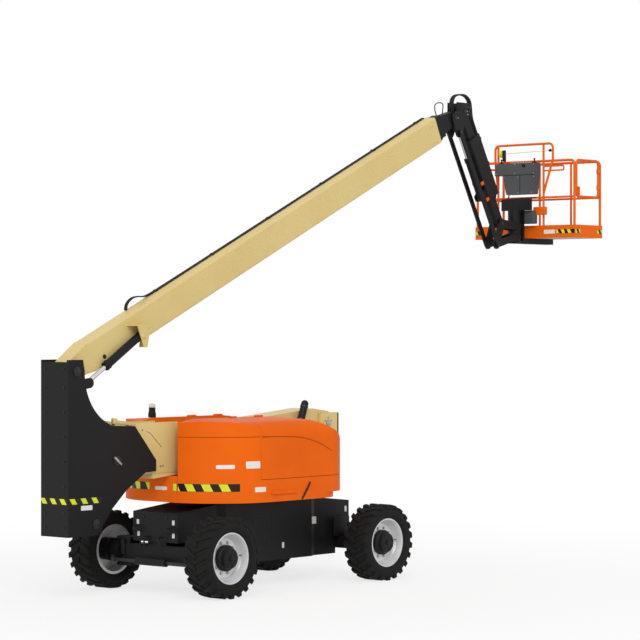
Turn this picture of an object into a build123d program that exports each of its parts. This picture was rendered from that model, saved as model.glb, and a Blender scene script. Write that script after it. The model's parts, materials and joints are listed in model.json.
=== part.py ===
"""Articulating boom lift: telescopic tower, upright, telescopic main boom, jib and work platform.

Millimetres. +X runs along the main boom towards the platform, +Z is up, and the origin lies on the
ground under the slewing axis. "Near" is the -Y side and "far" the +Y side.
"""
from build123d import *
import os
from math import asin, atan2, cos, degrees, hypot, radians, sin, sqrt

# Running gear
WHEELBASE = 3050
TRACK = 2055
TYRE_D = 1020
TYRE_W = 385
RIM_R = 322
LUG_H = 34
LUG_COUNT = 14
LUG_WIDTH = 66
LUG_SLANT = 34
TYRE_SIDES = 28
HUB_R = 150
SPINDLE_R = 60
AXLE_SIZE = 210
KINGPIN_Y = 690
KINGPIN_R = 70
STEER_ARM = 200
STEER_ROD_R = 22

# Clearances
FIT = 0.3
SIDE_GAP = 6
RUN_GAP = 8

# Chassis
CHASSIS_OVERHANG = 135
CHASSIS_W = 790
CHASSIS_MID_W = 900
CHASSIS_MID_L = 1900
CHASSIS_TOP = 1110
CHASSIS_END_TOP = 1035
CHASSIS_BOTTOM = 335
AXLE_ROOM = 45
LUG_BORE_R = 30
LUG_T = 40
LUG_Z = 800
LUG_OUT = 50
LUG_INSET = 100
SLEW_R = 520
SLEW_H = 55

# Turntable and hoods
DECK_REAR = -1600
DECK_FRONT = 775
DECK_W = 2240
DECK_T = 75
DECK_CORNER_R = 900
SKIRT_TOP = 1500
HOOD_TOP = 2215
HOOD_SILL = 1450
HOOD_INNER_Y = 330
HOOD_WALL = 22
HOOD_SPLIT_X = -880
HOOD_FRONT = 914
HOOD_EDGE_R = 190
HOOD_FRONT_R = 450
# How far behind the hood's foremost point its outline is, and at what share of the height
HOOD_NOSE = ((831, 0.985), (577, 0.914), (328, 0.799), (141, 0.667), (40, 0.487), (0, 0.269), (40, 0.121))
SEAM = 6
STACK_FOOT = (690, 1740)
STACK_TOP = (915, 2350)
STACK_R = 50
BEACON = (-1110, 600)
BEACON_R = 52
HOOD_FALL = 30
HINGE_X = (-620, -120)
HINGE_L = 90
HINGE_EYE_L = 32
HINGE_R = 10
HINGE_PIN_R = 5
HINGE_IN = 6
HINGE_UP = 6

# Tower
TOWER_PIVOT = (1400, 2080)
UPRIGHT_PIN = (-2570, 1730)
TOWER_W = 380
TOWER_H = 440
TOWER_WALL = 16
TOWER_HEAD_H = 620
TOWER_HEAD_X = (-1930, -1470)
TOWER_PIVOT_PLATE_T = 45
TOWER_STROKE = 2600
TOWER_CYLINDER_R = 75
TOWER_ROD_R = 45
TOWER_CYLINDER_FOOT = (1100, 1340)
TOWER_CYLINDER_HEAD = (-19, 1664)
TOWER_CYLINDER_EYE_W = 90
TOWER_BARREL_L = 1040
TOWER_ROD_IN = 180
TOWER_PIN_R = 32
PIVOT_FRONT = 1600
PIN_R = 45

# Upright
UPRIGHT_W = 480
UPRIGHT_PLATE_T = 25
UPRIGHT_REAR = -3400
UPRIGHT_TOP = 2985
UPRIGHT_BOTTOM = 832
WEIGHT_FRONT = -2800
WEIGHT_TOP = 1620

# Main boom
BOOM_PIVOT = (-3255, 2845)
BOOM_ANGLE = 24.8
BOOM_W = 240
BOOM_H = 384
BOOM_WALL = 10
BOOM_BASE_L = 7950
BOOM_EDGE_R = 26
BOOM_HEEL_R = 108
BOOM_HEEL_L = 420
SECTION_GAP = 4
GUIDE_L = 160
BOOM_MID_START = 1200
BOOM_FLY_START = 1500
NOSE_HALF = 60
BOOM_MID_OUT = 60
BOOM_FLY_OUT = 110
NOSE_EYE_R = 95
KNUCKLE_OUT = 483
LIFT_PIN = (-2125, 3270)
LIFT_EYE = (-3030, 2700)
LIFT_Y = 182
LIFT_R = 52
LIFT_ROD_R = 28
LIFT_BARREL_L = 700
LIFT_ROD_IN = 260
LIFT_EYE_W = 50
LIFT_PIN_R = 26
BRACKET_T = 14

# Jib
JIB_OFFSET = (219.7, 107.8)
JIB_L = 1830
JIB_ANGLE = -60.8
LINK_OFFSET = (-127, -315)
JIB_H = 270
JIB_UNDER = 110
JIB_W = 180
JIB_NECK_L = 430
JIB_NECK_W = 120
KNUCKLE_T = 25
LINK_T = 24
LINK_H = 70
JIB_PIN_R = 30
JIB_CYLINDER_EYE = (-75, -240)
JIB_CYLINDER_FOOT = (1310, -192)
JIB_CYLINDER_R = 40
JIB_ROD_R = 24
JIB_BARREL_L = 640
JIB_ROD_IN = 180
JIB_EYE_W = 50
JIB_EYE_PIN_R = 20

# Platform
ROTATOR_OUT = 417.2
ROTATOR_R = 95
ROTATOR_H = 415
ROTATOR_DROP = 247.6
PLATFORM_OUT = 260
PLATFORM_DEPTH = 690
PLATFORM_W = 1830
PLATFORM_UP = 40
RAIL_H = 1165
MID_RAIL_SHARE = 0.52
KICK_H = 190
KICK_T = 6
FLOOR_T = 40
TUBE_R = 19
HOOP_R = 17.5
POST_R = 16.5
MID_RAIL_R = 15.5
GATE_SLEEVE_T = 9
GATE_SLEEVE_L = 70
GATE_HINGE_IN = 150
HOOP_H = 240
RAIL_BEND = 70
HOOP_Y = (-505, 560)
HOOP_POST_Y = (-335, 505)
HOOP_LEG_DROP = 500
FRONT_POST_Y = (-370, 210)
CONSOLE_Y = (-291, 451)
CONSOLE_UP = -45
CONSOLE_DEPTH = 140
CONSOLE_HEAD_H = 175
CONSOLE_H = 465
MOUNT_Y = (-210, 330)

HALF_TRACK = TRACK / 2
AXLE_X = WHEELBASE / 2
CHASSIS_L = WHEELBASE + 2 * CHASSIS_OVERHANG
AXLE_Z = TYRE_D / 2
DECK_Z = CHASSIS_TOP + SLEW_H + FIT


def block(x0, x1, y0, y1, z0, z1):
    """A box between two corners."""
    return Pos((x0 + x1) / 2, (y0 + y1) / 2, (z0 + z1) / 2) * Box(x1 - x0, y1 - y0, z1 - z0)


def prism(points, y0, y1):
    """An outline in the X-Z plane, extruded from y0 to y1."""
    outline = Polyline(*[(x, y0, z) for x, z in points], close=True)
    return extrude(make_face(outline), amount=y1 - y0, dir=(0, 1, 0))


def plan_prism(points, z0, z1):
    """An outline in plan, extruded from z0 to z1."""
    outline = Polyline(*[(x, y, z0) for x, y in points], close=True)
    return extrude(make_face(outline), amount=z1 - z0, dir=(0, 0, 1))


def bar(start, end, radius):
    """A round bar between two points."""
    start, end = Vector(*start), Vector(*end)
    run = end - start
    place = Plane(origin=start, z_dir=run)
    return place * Cylinder(radius, run.length, align=(Align.CENTER, Align.CENTER, Align.MIN))


def cross_pin(x, z, radius, y0, y1):
    """A round bar along Y."""
    return bar((x, y0, z), (x, y1, z), radius)


def along(origin, angle, s, n=0):
    """The X-Z point at s along, and n across, a line that rises from origin at the given angle."""
    a = radians(angle)
    return (origin[0] + s * cos(a) - n * sin(a), origin[1] + s * sin(a) + n * cos(a))


def slope(a, b):
    """The angle of the line from a to b in the X-Z plane."""
    return degrees(atan2(b[1] - a[1], b[0] - a[0]))


def gap_between(a, b):
    """The distance between two X-Z points."""
    return hypot(b[0] - a[0], b[1] - a[1])


def lying(shape, origin, angle):
    """Carries a shape drawn along +X from zero to an X-Z origin and angle."""
    return Pos(origin[0], 0, origin[1]) * Rot(0, -angle, 0) * shape


def twin(shape):
    """The shape with its mirror image on the far side."""
    return shape + mirror(shape, about=Plane.XZ)


def capsule(a, b, half, y0, y1, bore=0):
    """A flat bar with round ends from a to b in the X-Z plane."""
    length = gap_between(a, b)
    outline = Pos(length / 2, 0) * SlotCenterToCenter(length, 2 * half)
    if bore:
        outline -= Circle(bore)
        outline -= Pos(length, 0) * Circle(bore)
    flat = extrude(Plane.XZ * outline, amount=y1 - y0, dir=(0, 1, 0))
    return Pos(0, y0, 0) * lying(flat, a, slope(a, b))


TOWER_SLOPE = slope(TOWER_PIVOT, UPRIGHT_PIN)
TOWER_TILT = TOWER_SLOPE % 180
KNUCKLE_S = BOOM_BASE_L + KNUCKLE_OUT
BOOM_NOSE = along(BOOM_PIVOT, BOOM_ANGLE, KNUCKLE_S)
JIB_PIVOT = (BOOM_NOSE[0] + JIB_OFFSET[0], BOOM_NOSE[1] + JIB_OFFSET[1])
JIB_TIP = along(JIB_PIVOT, JIB_ANGLE, JIB_L)
ROTATOR_X = JIB_TIP[0] + ROTATOR_OUT
ROTATOR_Z = (JIB_TIP[1] - ROTATOR_DROP, JIB_TIP[1] - ROTATOR_DROP + ROTATOR_H)
PLATFORM_REAR = ROTATOR_X + PLATFORM_OUT
PLATFORM_FLOOR = ROTATOR_Z[0] + PLATFORM_UP
PLATFORM_RAIL_TOP = PLATFORM_FLOOR + RAIL_H
PLATFORM_MID_RAIL = PLATFORM_FLOOR + RAIL_H * MID_RAIL_SHARE
HOOP_TOP = PLATFORM_RAIL_TOP + HOOP_H
CONSOLE_Z = PLATFORM_RAIL_TOP + CONSOLE_UP
parts = {}


def ring_station(y, radius):
    """One polygon of the tyre's carcass, square to the axle."""
    return Plane(origin=(0, y, 0), x_dir=(1, 0, 0), z_dir=(0, 1, 0)) * RegularPolygon(radius, TYRE_SIDES)


def tyre_shape():
    """A many-sided carcass about the Y axis, with two staggered rows of slanting lugs."""
    crown = TYRE_D / 2 - LUG_H
    half = TYRE_W / 2
    side = [(half - 34, RIM_R + 6), (half, crown - 70), (half - 40, crown)]
    stations = [ring_station(-y, r) for y, r in side] + [ring_station(y, r) for y, r in reversed(side)]
    carcass = loft(stations, ruled=True) - cross_pin(0, 0, RIM_R, -half, half)
    lug_length = 0.55 * TYRE_W
    slant = radians(LUG_SLANT)
    corner = lug_length / 2 * sin(slant) + LUG_WIDTH / 2 * cos(slant)
    face = sqrt((TYRE_D / 2) ** 2 - corner ** 2)
    depth = face - crown + LUG_H
    inward = lug_length / 2 * cos(slant) + LUG_WIDTH / 2 * sin(slant)
    lug = Pos(face - depth / 2, half - 5 - inward, 0) * Rot(LUG_SLANT, 0, 0) * Box(depth, lug_length, LUG_WIDTH)
    pitch = 360 / LUG_COUNT
    opposite = mirror(lug, about=Plane.XZ)
    start = degrees(asin(corner / (TYRE_D / 2)))
    lugs = [Rot(0, start + pitch * i, 0) * lug for i in range(LUG_COUNT)]
    lugs += [Rot(0, start + pitch * (i + 0.5), 0) * opposite for i in range(LUG_COUNT)]
    return carcass + lugs


def rim_shape():
    """A dished steel rim, open to +Y, turned about the Y axis."""
    half = TYRE_W / 2 - 34
    well = RIM_R - 34
    disc = 40
    section = Polyline(
        (RIM_R - FIT, half), (RIM_R - FIT, -half), (well, -half), (well, disc - 16), (HUB_R - 20, disc - 16),
        (HUB_R - 20, disc), (well - 40, disc), (well - 14, disc + 40), (RIM_R - 16, half), close=True)
    return revolve(make_face(section), Axis.Y)


def hub_shape():
    """The wheel's drive gear housing, with the axle's spindle bore on its inner side."""
    inner = -TYRE_W / 2 + 30
    disc = 40
    section = Polyline(
        (SPINDLE_R + FIT, inner), (HUB_R - 4, inner), (HUB_R - 4, disc - 16 - FIT), (HUB_R - 20 - FIT, disc - 16 - FIT),
        (HUB_R - 20 - FIT, disc + FIT), (HUB_R + 14, disc + FIT), (HUB_R + 14, disc + 50), (HUB_R - 14, disc + 70),
        (HUB_R - 24, disc + 118), (60, disc + 124), (0, disc + 124), (0, disc - 30),
        (SPINDLE_R + FIT, disc - 30), close=True)
    return revolve(make_face(section), Axis.Y)


def wheels():
    tyre, rim, hub = tyre_shape(), rim_shape(), hub_shape()
    for end, x in (("steer", -AXLE_X), ("drive", AXLE_X)):
        for side, sign in (("near", -1), ("far", 1)):
            place = Pos(x, sign * HALF_TRACK, AXLE_Z) * Rot(0, 0, 0 if sign > 0 else 180)
            parts[f"tyre_{end}_{side}"] = place * tyre
            parts[f"rim_{end}_{side}"] = place * rim
            parts[f"hub_{end}_{side}"] = place * hub


SPINDLE_END = HALF_TRACK + 40 - 32
HUB_INNER = HALF_TRACK - TYRE_W / 2 + 30


def axles():
    """The steering axle at the upright's end and the fixed drive axle at the other."""
    half = AXLE_SIZE / 2
    yoke = KINGPIN_R + 24
    yoke_t = 36
    jaw = 150
    x = -AXLE_X
    beam_end = KINGPIN_Y - yoke - 40
    beam = block(x - half, x + half, -beam_end, beam_end, AXLE_Z - half, AXLE_Z + half)
    ears = []
    for z0 in (AXLE_Z - jaw - yoke_t, AXLE_Z + jaw):
        ear = block(x - yoke, x + yoke, beam_end - 70, KINGPIN_Y, z0, z0 + yoke_t)
        ear += Pos(x, KINGPIN_Y, z0 + yoke_t / 2) * Cylinder(yoke, yoke_t)
        ears.append(ear)
    web = block(x - yoke, x + yoke, beam_end - 70, beam_end, AXLE_Z - jaw - yoke_t, AXLE_Z + jaw + yoke_t)
    saddle = block(x - half, x + half, -160, 160, AXLE_Z + half, AXLE_Z + half + AXLE_ROOM)
    parts["steer_axle"] = beam + twin(ears[0] + ears[1] + web) + saddle

    knuckle = Pos(x, KINGPIN_Y, AXLE_Z) * Cylinder(KINGPIN_R, 2 * jaw - 2 * FIT)
    flange = bar((x, KINGPIN_Y, AXLE_Z), (x, HUB_INNER - RUN_GAP, AXLE_Z), 118)
    spindle = bar((x, KINGPIN_Y, AXLE_Z), (x, SPINDLE_END, AXLE_Z), SPINDLE_R)
    arm_z = AXLE_Z - 60
    arm = plan_prism([(x, KINGPIN_Y + 45), (x, KINGPIN_Y - 45), (x - STEER_ARM, KINGPIN_Y - 30),
                      (x - STEER_ARM, KINGPIN_Y + 30)], arm_z - 15, arm_z + 15)
    arm += Pos(x - STEER_ARM, KINGPIN_Y, arm_z) * Cylinder(36, 30)
    far = knuckle + flange + spindle + arm
    parts["knuckle_far"] = far
    parts["knuckle_near"] = mirror(far, about=Plane.XZ)

    rod_x = x - STEER_ARM
    rod_z = arm_z - 15 - 0.5 - 26
    eye = Pos(rod_x, KINGPIN_Y, rod_z) * Cylinder(36, 52)
    parts["steer_rod"] = bar((rod_x, -KINGPIN_Y, rod_z), (rod_x, KINGPIN_Y, rod_z), STEER_ROD_R) + twin(eye)
    barrel = cross_pin(rod_x, rod_z, 48, -260, 260)
    barrel -= cross_pin(rod_x, rod_z, STEER_ROD_R + FIT, -300, 300)
    foot = block(rod_x + 30, x - half, -60, 60, rod_z - 34, rod_z + 34)
    foot -= cross_pin(rod_x, rod_z, 40, -300, 300)
    parts["steer_cylinder"] = barrel + foot

    x = AXLE_X
    drive = block(x - half, x + half, -HUB_INNER + 90, HUB_INNER - 90, AXLE_Z - half, AXLE_Z + half)
    drive += twin(bar((x, HUB_INNER - 120, AXLE_Z), (x, HUB_INNER - RUN_GAP, AXLE_Z), 130))
    drive += twin(bar((x, HUB_INNER - 120, AXLE_Z), (x, SPINDLE_END, AXLE_Z), SPINDLE_R))
    drive += block(x - half, x + half, -160, 160, AXLE_Z + half, AXLE_Z + half + AXLE_ROOM)
    parts["drive_axle"] = drive


def chassis():
    """A welded box, wider in the middle, notched over each axle, with tie-down lugs at both ends."""
    end, mid = CHASSIS_L / 2, CHASSIS_MID_L / 2
    side = prism([(-end, CHASSIS_BOTTOM), (end, CHASSIS_BOTTOM), (end, CHASSIS_END_TOP), (mid, CHASSIS_TOP),
                  (-mid, CHASSIS_TOP), (-end, CHASSIS_END_TOP)], -CHASSIS_MID_W / 2, CHASSIS_MID_W / 2)
    flare = 120
    plan = plan_prism([(-end, -CHASSIS_W / 2), (-mid, -CHASSIS_W / 2), (-mid + flare, -CHASSIS_MID_W / 2),
                       (mid - flare, -CHASSIS_MID_W / 2), (mid, -CHASSIS_W / 2), (end, -CHASSIS_W / 2),
                       (end, CHASSIS_W / 2), (mid, CHASSIS_W / 2), (mid - flare, CHASSIS_MID_W / 2),
                       (-mid + flare, CHASSIS_MID_W / 2), (-mid, CHASSIS_W / 2), (-end, CHASSIS_W / 2)],
                      CHASSIS_BOTTOM, CHASSIS_TOP)
    frame = side & plan
    notch_top = AXLE_Z + AXLE_SIZE / 2 + AXLE_ROOM
    notch_half = AXLE_SIZE / 2 + 40
    for x in (-AXLE_X, AXLE_X):
        outer = (x - notch_half, x + CHASSIS_L) if x > 0 else (x - CHASSIS_L, x + notch_half)
        frame -= block(*outer, -CHASSIS_W, CHASSIS_W, 0, notch_top)
    lug_y = CHASSIS_W / 2 - LUG_INSET
    for x in (-1, 1):
        for y in (-lug_y, lug_y):
            ear = plan_prism([(x * (end - 1), y - 85), (x * (end + LUG_OUT), y - 50), (x * (end + LUG_OUT + 40), y - 22),
                              (x * (end + LUG_OUT + 40), y + 22), (x * (end + LUG_OUT), y + 50), (x * (end - 1), y + 85)],
                             LUG_Z, LUG_Z + LUG_T)
            frame += ear - Pos(x * (end + LUG_OUT - 5), y, LUG_Z) * Cylinder(LUG_BORE_R, 4 * LUG_T)
    parts["chassis_frame"] = frame
    parts["slew_ring"] = Pos(0, 0, CHASSIS_TOP + SLEW_H / 2) * Cylinder(SLEW_R, SLEW_H)


def hood_body(inset):
    """The far hood's outer form, drawn smaller by an inset for its hollow: the meeting of its side
    outline, its plan and its cross-section."""
    rear, front = DECK_REAR + inset, HOOD_FRONT - inset
    inner, outer = HOOD_INNER_Y + inset, DECK_W / 2 - inset
    bottom, top = DECK_Z + DECK_T, HOOD_TOP - inset
    low = bottom - inset
    nose = [(front - back, 0, bottom + share * (top - bottom)) for back, share in HOOD_NOSE]
    foot = (DECK_FRONT - inset, 0, low)
    side = [Polyline(foot, (rear, 0, low), (rear, 0, top - 40), (rear + 260, 0, top), (nose[0][0] - 200, 0, top), nose[0]),
            Spline(*nose), Line(nose[-1], foot)]
    form = extrude(make_face(side), amount=DECK_W, dir=(0, 1, 0))
    plan = Pos((rear + front) / 2, 0) * Rectangle(front - rear, 2 * outer)
    plan = fillet(plan.vertices().sort_by(Axis.X)[:2], DECK_CORNER_R - inset)
    plan = fillet(plan.vertices().sort_by(Axis.X)[-2:], HOOD_FRONT_R - inset)
    form &= Pos(0, 0, low) * extrude(plan, amount=HOOD_TOP)
    edge = HOOD_EDGE_R
    crown = [Polyline((rear, outer, top - edge - HOOD_FALL), (rear, outer, low), (rear, inner, low), (rear, inner, top),
                      (rear, outer - edge, top - HOOD_FALL)),
             ThreePointArc((rear, outer - edge, top - HOOD_FALL), (rear, outer - 0.3 * edge, top - HOOD_FALL - 0.3 * edge),
                           (rear, outer, top - edge - HOOD_FALL))]
    return form & extrude(make_face(crown), amount=front - rear, dir=(1, 0, 0))


def hoods():
    """On each side a hollow hood: a fixed rear panel with the inner wall, and a door in front of the seam."""
    shell = hood_body(0) - hood_body(HOOD_WALL)
    wall = HOOD_INNER_Y + HOOD_WALL
    low, high = DECK_Z, HOOD_TOP + 1
    split = (HOOD_SPLIT_X - SEAM / 2, HOOD_SPLIT_X + SEAM / 2)
    door_space = block(split[1], HOOD_FRONT + 1, wall + SEAM, DECK_W, HOOD_SILL + SEAM, high)
    fixed_space = block(DECK_REAR - 1, split[0], 0, DECK_W, low, high)
    fixed_space += block(DECK_REAR - 1, HOOD_FRONT + 1, 0, wall, low, high)
    fixed_space += block(DECK_REAR - 1, HOOD_FRONT + 1, 0, DECK_W, low, HOOD_SILL)
    fixed, door = shell & fixed_space, shell & door_space
    eye = (wall + SEAM + HINGE_IN, HOOD_TOP + HINGE_UP)
    for x in HINGE_X:
        ends = (x - HINGE_L / 2, x + HINGE_L / 2)
        door += bar((ends[0], *eye), (ends[1], *eye), HINGE_R)
        door -= bar((ends[0] - 1, *eye), (ends[1] + 1, *eye), HINGE_PIN_R + FIT)
        fixed += bar((ends[0] - HINGE_EYE_L, *eye), (ends[1] + HINGE_EYE_L, *eye), HINGE_PIN_R)
        for x0, x1 in ((ends[0] - HINGE_EYE_L, ends[0] - 2), (ends[1] + 2, ends[1] + HINGE_EYE_L)):
            door -= block(x0 - 3, x1 + 3, wall, eye[0] + HINGE_R + SEAM, HOOD_TOP - HOOD_WALL - 1, high + 50)
            fixed += bar((x0, *eye), (x1, *eye), HINGE_R)
            fixed += block(x0, x1, wall - 14, eye[0], HOOD_TOP - 8, HOOD_TOP + HINGE_UP)
    parts["hood_rear_far"], parts["hood_door_far"] = fixed, door
    parts["hood_rear_near"] = mirror(fixed, about=Plane.XZ)
    parts["hood_door_near"] = mirror(door, about=Plane.XZ)


def turntable():
    """The deck with its rear skirt and the two pivot plates that carry the tower."""
    plan = Pos((DECK_REAR + DECK_FRONT) / 2, 0) * Rectangle(DECK_FRONT - DECK_REAR, DECK_W)
    plan = fillet(plan.vertices().sort_by(Axis.X)[:2], DECK_CORNER_R)
    plan = fillet(plan.vertices().sort_by(Axis.X)[-2:], HOOD_FRONT_R)
    deck = Pos(0, 0, DECK_Z) * extrude(plan, amount=DECK_T)
    top = DECK_Z + DECK_T
    skirt_y = HOOD_INNER_Y - SEAM
    deck += block(DECK_REAR, DECK_REAR + 60, -skirt_y, skirt_y, top, SKIRT_TOP)
    deck += block(DECK_FRONT - 200, PIVOT_FRONT, -skirt_y + 40, skirt_y - 40, DECK_Z, top)
    foot_x, foot_z = TOWER_CYLINDER_FOOT
    ear_y = TOWER_CYLINDER_R + SIDE_GAP
    ear = prism([(foot_x - 130, top), (foot_x + 130, top), (foot_x + 60, foot_z + 60), (foot_x - 60, foot_z + 60)],
                ear_y, ear_y + 30)
    deck += twin(ear) + cross_pin(foot_x, foot_z, TOWER_PIN_R, -ear_y, ear_y)
    parts["turntable_deck"] = deck

    px, pz = TOWER_PIVOT
    inner = TOWER_W / 2 + SIDE_GAP
    plate = prism([(px - 260, top), (PIVOT_FRONT, top), (PIVOT_FRONT, pz + 140), (px - 130, pz + 140)],
                  inner, inner + TOWER_PIVOT_PLATE_T)
    plate += cross_pin(px, pz, PIN_R + 50, inner + TOWER_PIVOT_PLATE_T, inner + TOWER_PIVOT_PLATE_T + 14)
    frame = twin(plate) + block(PIVOT_FRONT - 30, PIVOT_FRONT, -inner, inner, top, pz - TOWER_H / 2 - 40)
    frame += cross_pin(px, pz, PIN_R, -inner, inner)
    parts["tower_pivot_frame"] = frame
    guard_y = inner + TOWER_PIVOT_PLATE_T
    parts["pivot_guard"] = block(PIVOT_FRONT, PIVOT_FRONT + 28, -guard_y, guard_y, top + 300, pz + 136)


def turntable_equipment():
    """The engine block under the near hood, the tanks under the far one, the stack and the beacon."""
    top = DECK_Z + DECK_T
    mid = (HOOD_INNER_Y + DECK_W / 2) / 2
    parts["engine"] = block(-700, 250, -mid - 250, -mid + 250, top, top + 720)
    parts["tanks"] = block(-700, 250, mid - 230, mid + 230, top, top + 600)
    (x, z), (tip_x, tip_z) = STACK_FOOT, STACK_TOP
    y = -HOOD_INNER_Y + STACK_R + 22
    foot = block(x - 70, x + 70, -HOOD_INNER_Y, y, z - 60, z + 60)
    pipe = bar((x, y, z), (tip_x, y, tip_z), STACK_R)
    parts["exhaust_stack"] = foot + pipe + Pos(tip_x, y, tip_z) * Sphere(STACK_R)
    bx, by = BEACON
    crown = DECK_W / 2 - HOOD_EDGE_R - HOOD_INNER_Y
    bz = HOOD_TOP - HOOD_FALL * (by - BEACON_R - HOOD_INNER_Y) / crown + FIT
    lamp = Pos(bx, by, bz + 35) * Cylinder(BEACON_R, 70) + Pos(bx, by, bz + 110) * Cylinder(BEACON_R - 8, 80)
    parts["beacon"] = lamp


def tower():
    """The telescopic tower: it lifts at its front pivot and carries the upright on its rear pin."""
    length = gap_between(TOWER_PIVOT, UPRIGHT_PIN)
    half_h, half_w = TOWER_H / 2, TOWER_W / 2
    mouth = (TOWER_PIVOT[0] - TOWER_HEAD_X[0]) / cos(radians(TOWER_TILT))
    neck = (TOWER_PIVOT[0] - TOWER_HEAD_X[1]) / cos(radians(TOWER_TILT))
    base = prism([(-90, -150), (220, -half_h), (mouth, -half_h), (mouth, half_h), (220, half_h), (-90, 150)],
                 -half_w, half_w)
    head = TOWER_HEAD_H / 2
    base += prism([(neck - 160, -half_h), (neck, -head), (mouth, -head), (mouth, head), (neck, head),
                   (neck - 160, half_h)], -half_w - 8, half_w + 8)
    fly_h, fly_w = half_h - TOWER_WALL - RUN_GAP, half_w - TOWER_WALL - RUN_GAP
    base -= block(350, mouth - 140, -fly_w - RUN_GAP, fly_w + RUN_GAP, -fly_h - RUN_GAP, fly_h + RUN_GAP)
    base -= block(350, mouth + 1, -fly_w - FIT, fly_w + FIT, -fly_h - FIT, fly_h + FIT)
    base -= cross_pin(0, 0, PIN_R + FIT, -half_w, half_w)
    reach = gap_between(TOWER_PIVOT, TOWER_CYLINDER_HEAD)
    turn = radians(slope(TOWER_PIVOT, TOWER_CYLINDER_HEAD) - TOWER_SLOPE)
    lug_s, lug_n = reach * cos(turn), reach * sin(turn)
    lug_y = TOWER_CYLINDER_EYE_W / 2 + SIDE_GAP
    root = half_h - TOWER_WALL / 2
    lug = prism([(lug_s - 120, root), (lug_s + 120, root), (lug_s + 60, lug_n + 60), (lug_s - 60, lug_n + 60)],
                lug_y, lug_y + 30)
    parts["tower_base"] = lying(base + twin(lug), TOWER_PIVOT, TOWER_SLOPE)

    fly = block(420, length, -fly_w, fly_w, -fly_h, fly_h)
    fly += cross_pin(length, 0, fly_h, -fly_w, fly_w)
    fly -= block(419, length - 320, -fly_w + 12, fly_w - 12, -fly_h + 12, fly_h - 12)
    fly -= cross_pin(length, 0, PIN_R + FIT, -fly_w, fly_w)
    parts["tower_fly"] = lying(fly, TOWER_PIVOT, TOWER_SLOPE)

    cylinder(TOWER_CYLINDER_FOOT, TOWER_CYLINDER_HEAD, TOWER_CYLINDER_R, TOWER_ROD_R, TOWER_BARREL_L,
             TOWER_CYLINDER_EYE_W, 0, TOWER_ROD_IN, TOWER_PIN_R, "tower_cylinder_barrel", "tower_cylinder_rod")


def cylinder_pair(foot, head, barrel_r, rod_r, barrel_l, eye_w, y, rod_in, pin_r, stub):
    """A hydraulic cylinder's barrel and rod: the barrel turns on a pin at its foot, and the rod's eye
    carries its own pin at the head."""
    length = gap_between(foot, head)
    eye_r = barrel_r * 0.95
    barrel = bar((eye_r * 0.6, y, 0), (barrel_l, y, 0), barrel_r)
    barrel += bar((barrel_l - 60, y, 0), (barrel_l, y, 0), barrel_r + 8)
    barrel += cross_pin(0, 0, eye_r, y - eye_w / 2, y + eye_w / 2)
    barrel -= bar((rod_in - 140, y, 0), (barrel_l + 1, y, 0), rod_r + FIT)
    barrel -= cross_pin(0, 0, pin_r + FIT, y - eye_w, y + eye_w)
    rod = bar((rod_in, y, 0), (length - eye_r * 0.6, y, 0), rod_r)
    rod += cross_pin(length, 0, eye_r * 0.8, y - eye_w / 2, y + eye_w / 2)
    rod += cross_pin(length, 0, pin_r, y - eye_w / 2 - stub, y + eye_w / 2 + stub)
    angle = slope(foot, head)
    return lying(barrel, foot, angle), lying(rod, foot, angle)


def cylinder(foot, head, barrel_r, rod_r, barrel_l, eye_w, y, rod_in, pin_r, barrel_node, rod_node):
    """A single cylinder in two nodes."""
    barrel, rod = cylinder_pair(foot, head, barrel_r, rod_r, barrel_l, eye_w, y, rod_in, pin_r, SIDE_GAP - 0.5)
    parts[barrel_node] = barrel
    parts[rod_node] = rod


def upright():
    """Two side plates, a rear wall and a counterweight, carried on the tower's rear pin."""
    inner = UPRIGHT_W / 2 - UPRIGHT_PLATE_T
    outer = UPRIGHT_W / 2
    rear, top, bottom = UPRIGHT_REAR, UPRIGHT_TOP, UPRIGHT_BOTTOM
    outline = [
        Polyline((-2648, inner, 2167), (-2259, inner, 2150), (-1885, inner, 1716), (-1885, inner, 1575),
                 (-2073, inner, 1566), (-2404, inner, 1363), (-2672, inner, 1127), (-2900, inner, bottom),
                 (rear, inner, bottom), (rear, inner, top), (-3150, inner, top), (-3120, inner, 2840)),
        ThreePointArc((-3120, inner, 2840), (-3029, inner, 2473), (-2648, inner, 2167))]
    plate = extrude(make_face(outline), amount=UPRIGHT_PLATE_T, dir=(0, 1, 0))
    plate += capsule((LIFT_EYE[0] - 140, LIFT_EYE[1] - 20), LIFT_EYE, 62, inner, outer)
    pins = cross_pin(*UPRIGHT_PIN, PIN_R, -inner, inner) + cross_pin(*BOOM_PIVOT, PIN_R, -inner, inner)
    shoulder = cross_pin(*UPRIGHT_PIN, PIN_R + 40, TOWER_W / 2 - TOWER_WALL, inner)
    rear_wall = block(rear, rear + UPRIGHT_PLATE_T, -inner, inner, bottom, top - 25)
    parts["upright_frame"] = twin(plate + shoulder) + pins + rear_wall
    weight = block(rear + UPRIGHT_PLATE_T, WEIGHT_FRONT, -inner, inner, bottom + 20, WEIGHT_TOP)
    parts["counterweight"] = weight


def tube_section(start, end, width, height, wall, mouth_gap):
    """A hollow boom section along +X, with a guide ring at its mouth for the section inside it."""
    corner = BOOM_EDGE_R
    solid = extrude(Plane.YZ.offset(start) * RectangleRounded(width, height, corner), amount=end - start)
    bore_w, bore_h = width - 2 * wall, height - 2 * wall
    solid -= extrude(Plane.YZ.offset(start) * RectangleRounded(bore_w, bore_h, corner - wall),
                     amount=end - start - GUIDE_L)
    ring = RectangleRounded(bore_w - 2 * (SECTION_GAP - mouth_gap), bore_h - 2 * (SECTION_GAP - mouth_gap), corner - wall)
    return solid - extrude(Plane.YZ.offset(end - GUIDE_L) * ring, amount=GUIDE_L)


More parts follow.
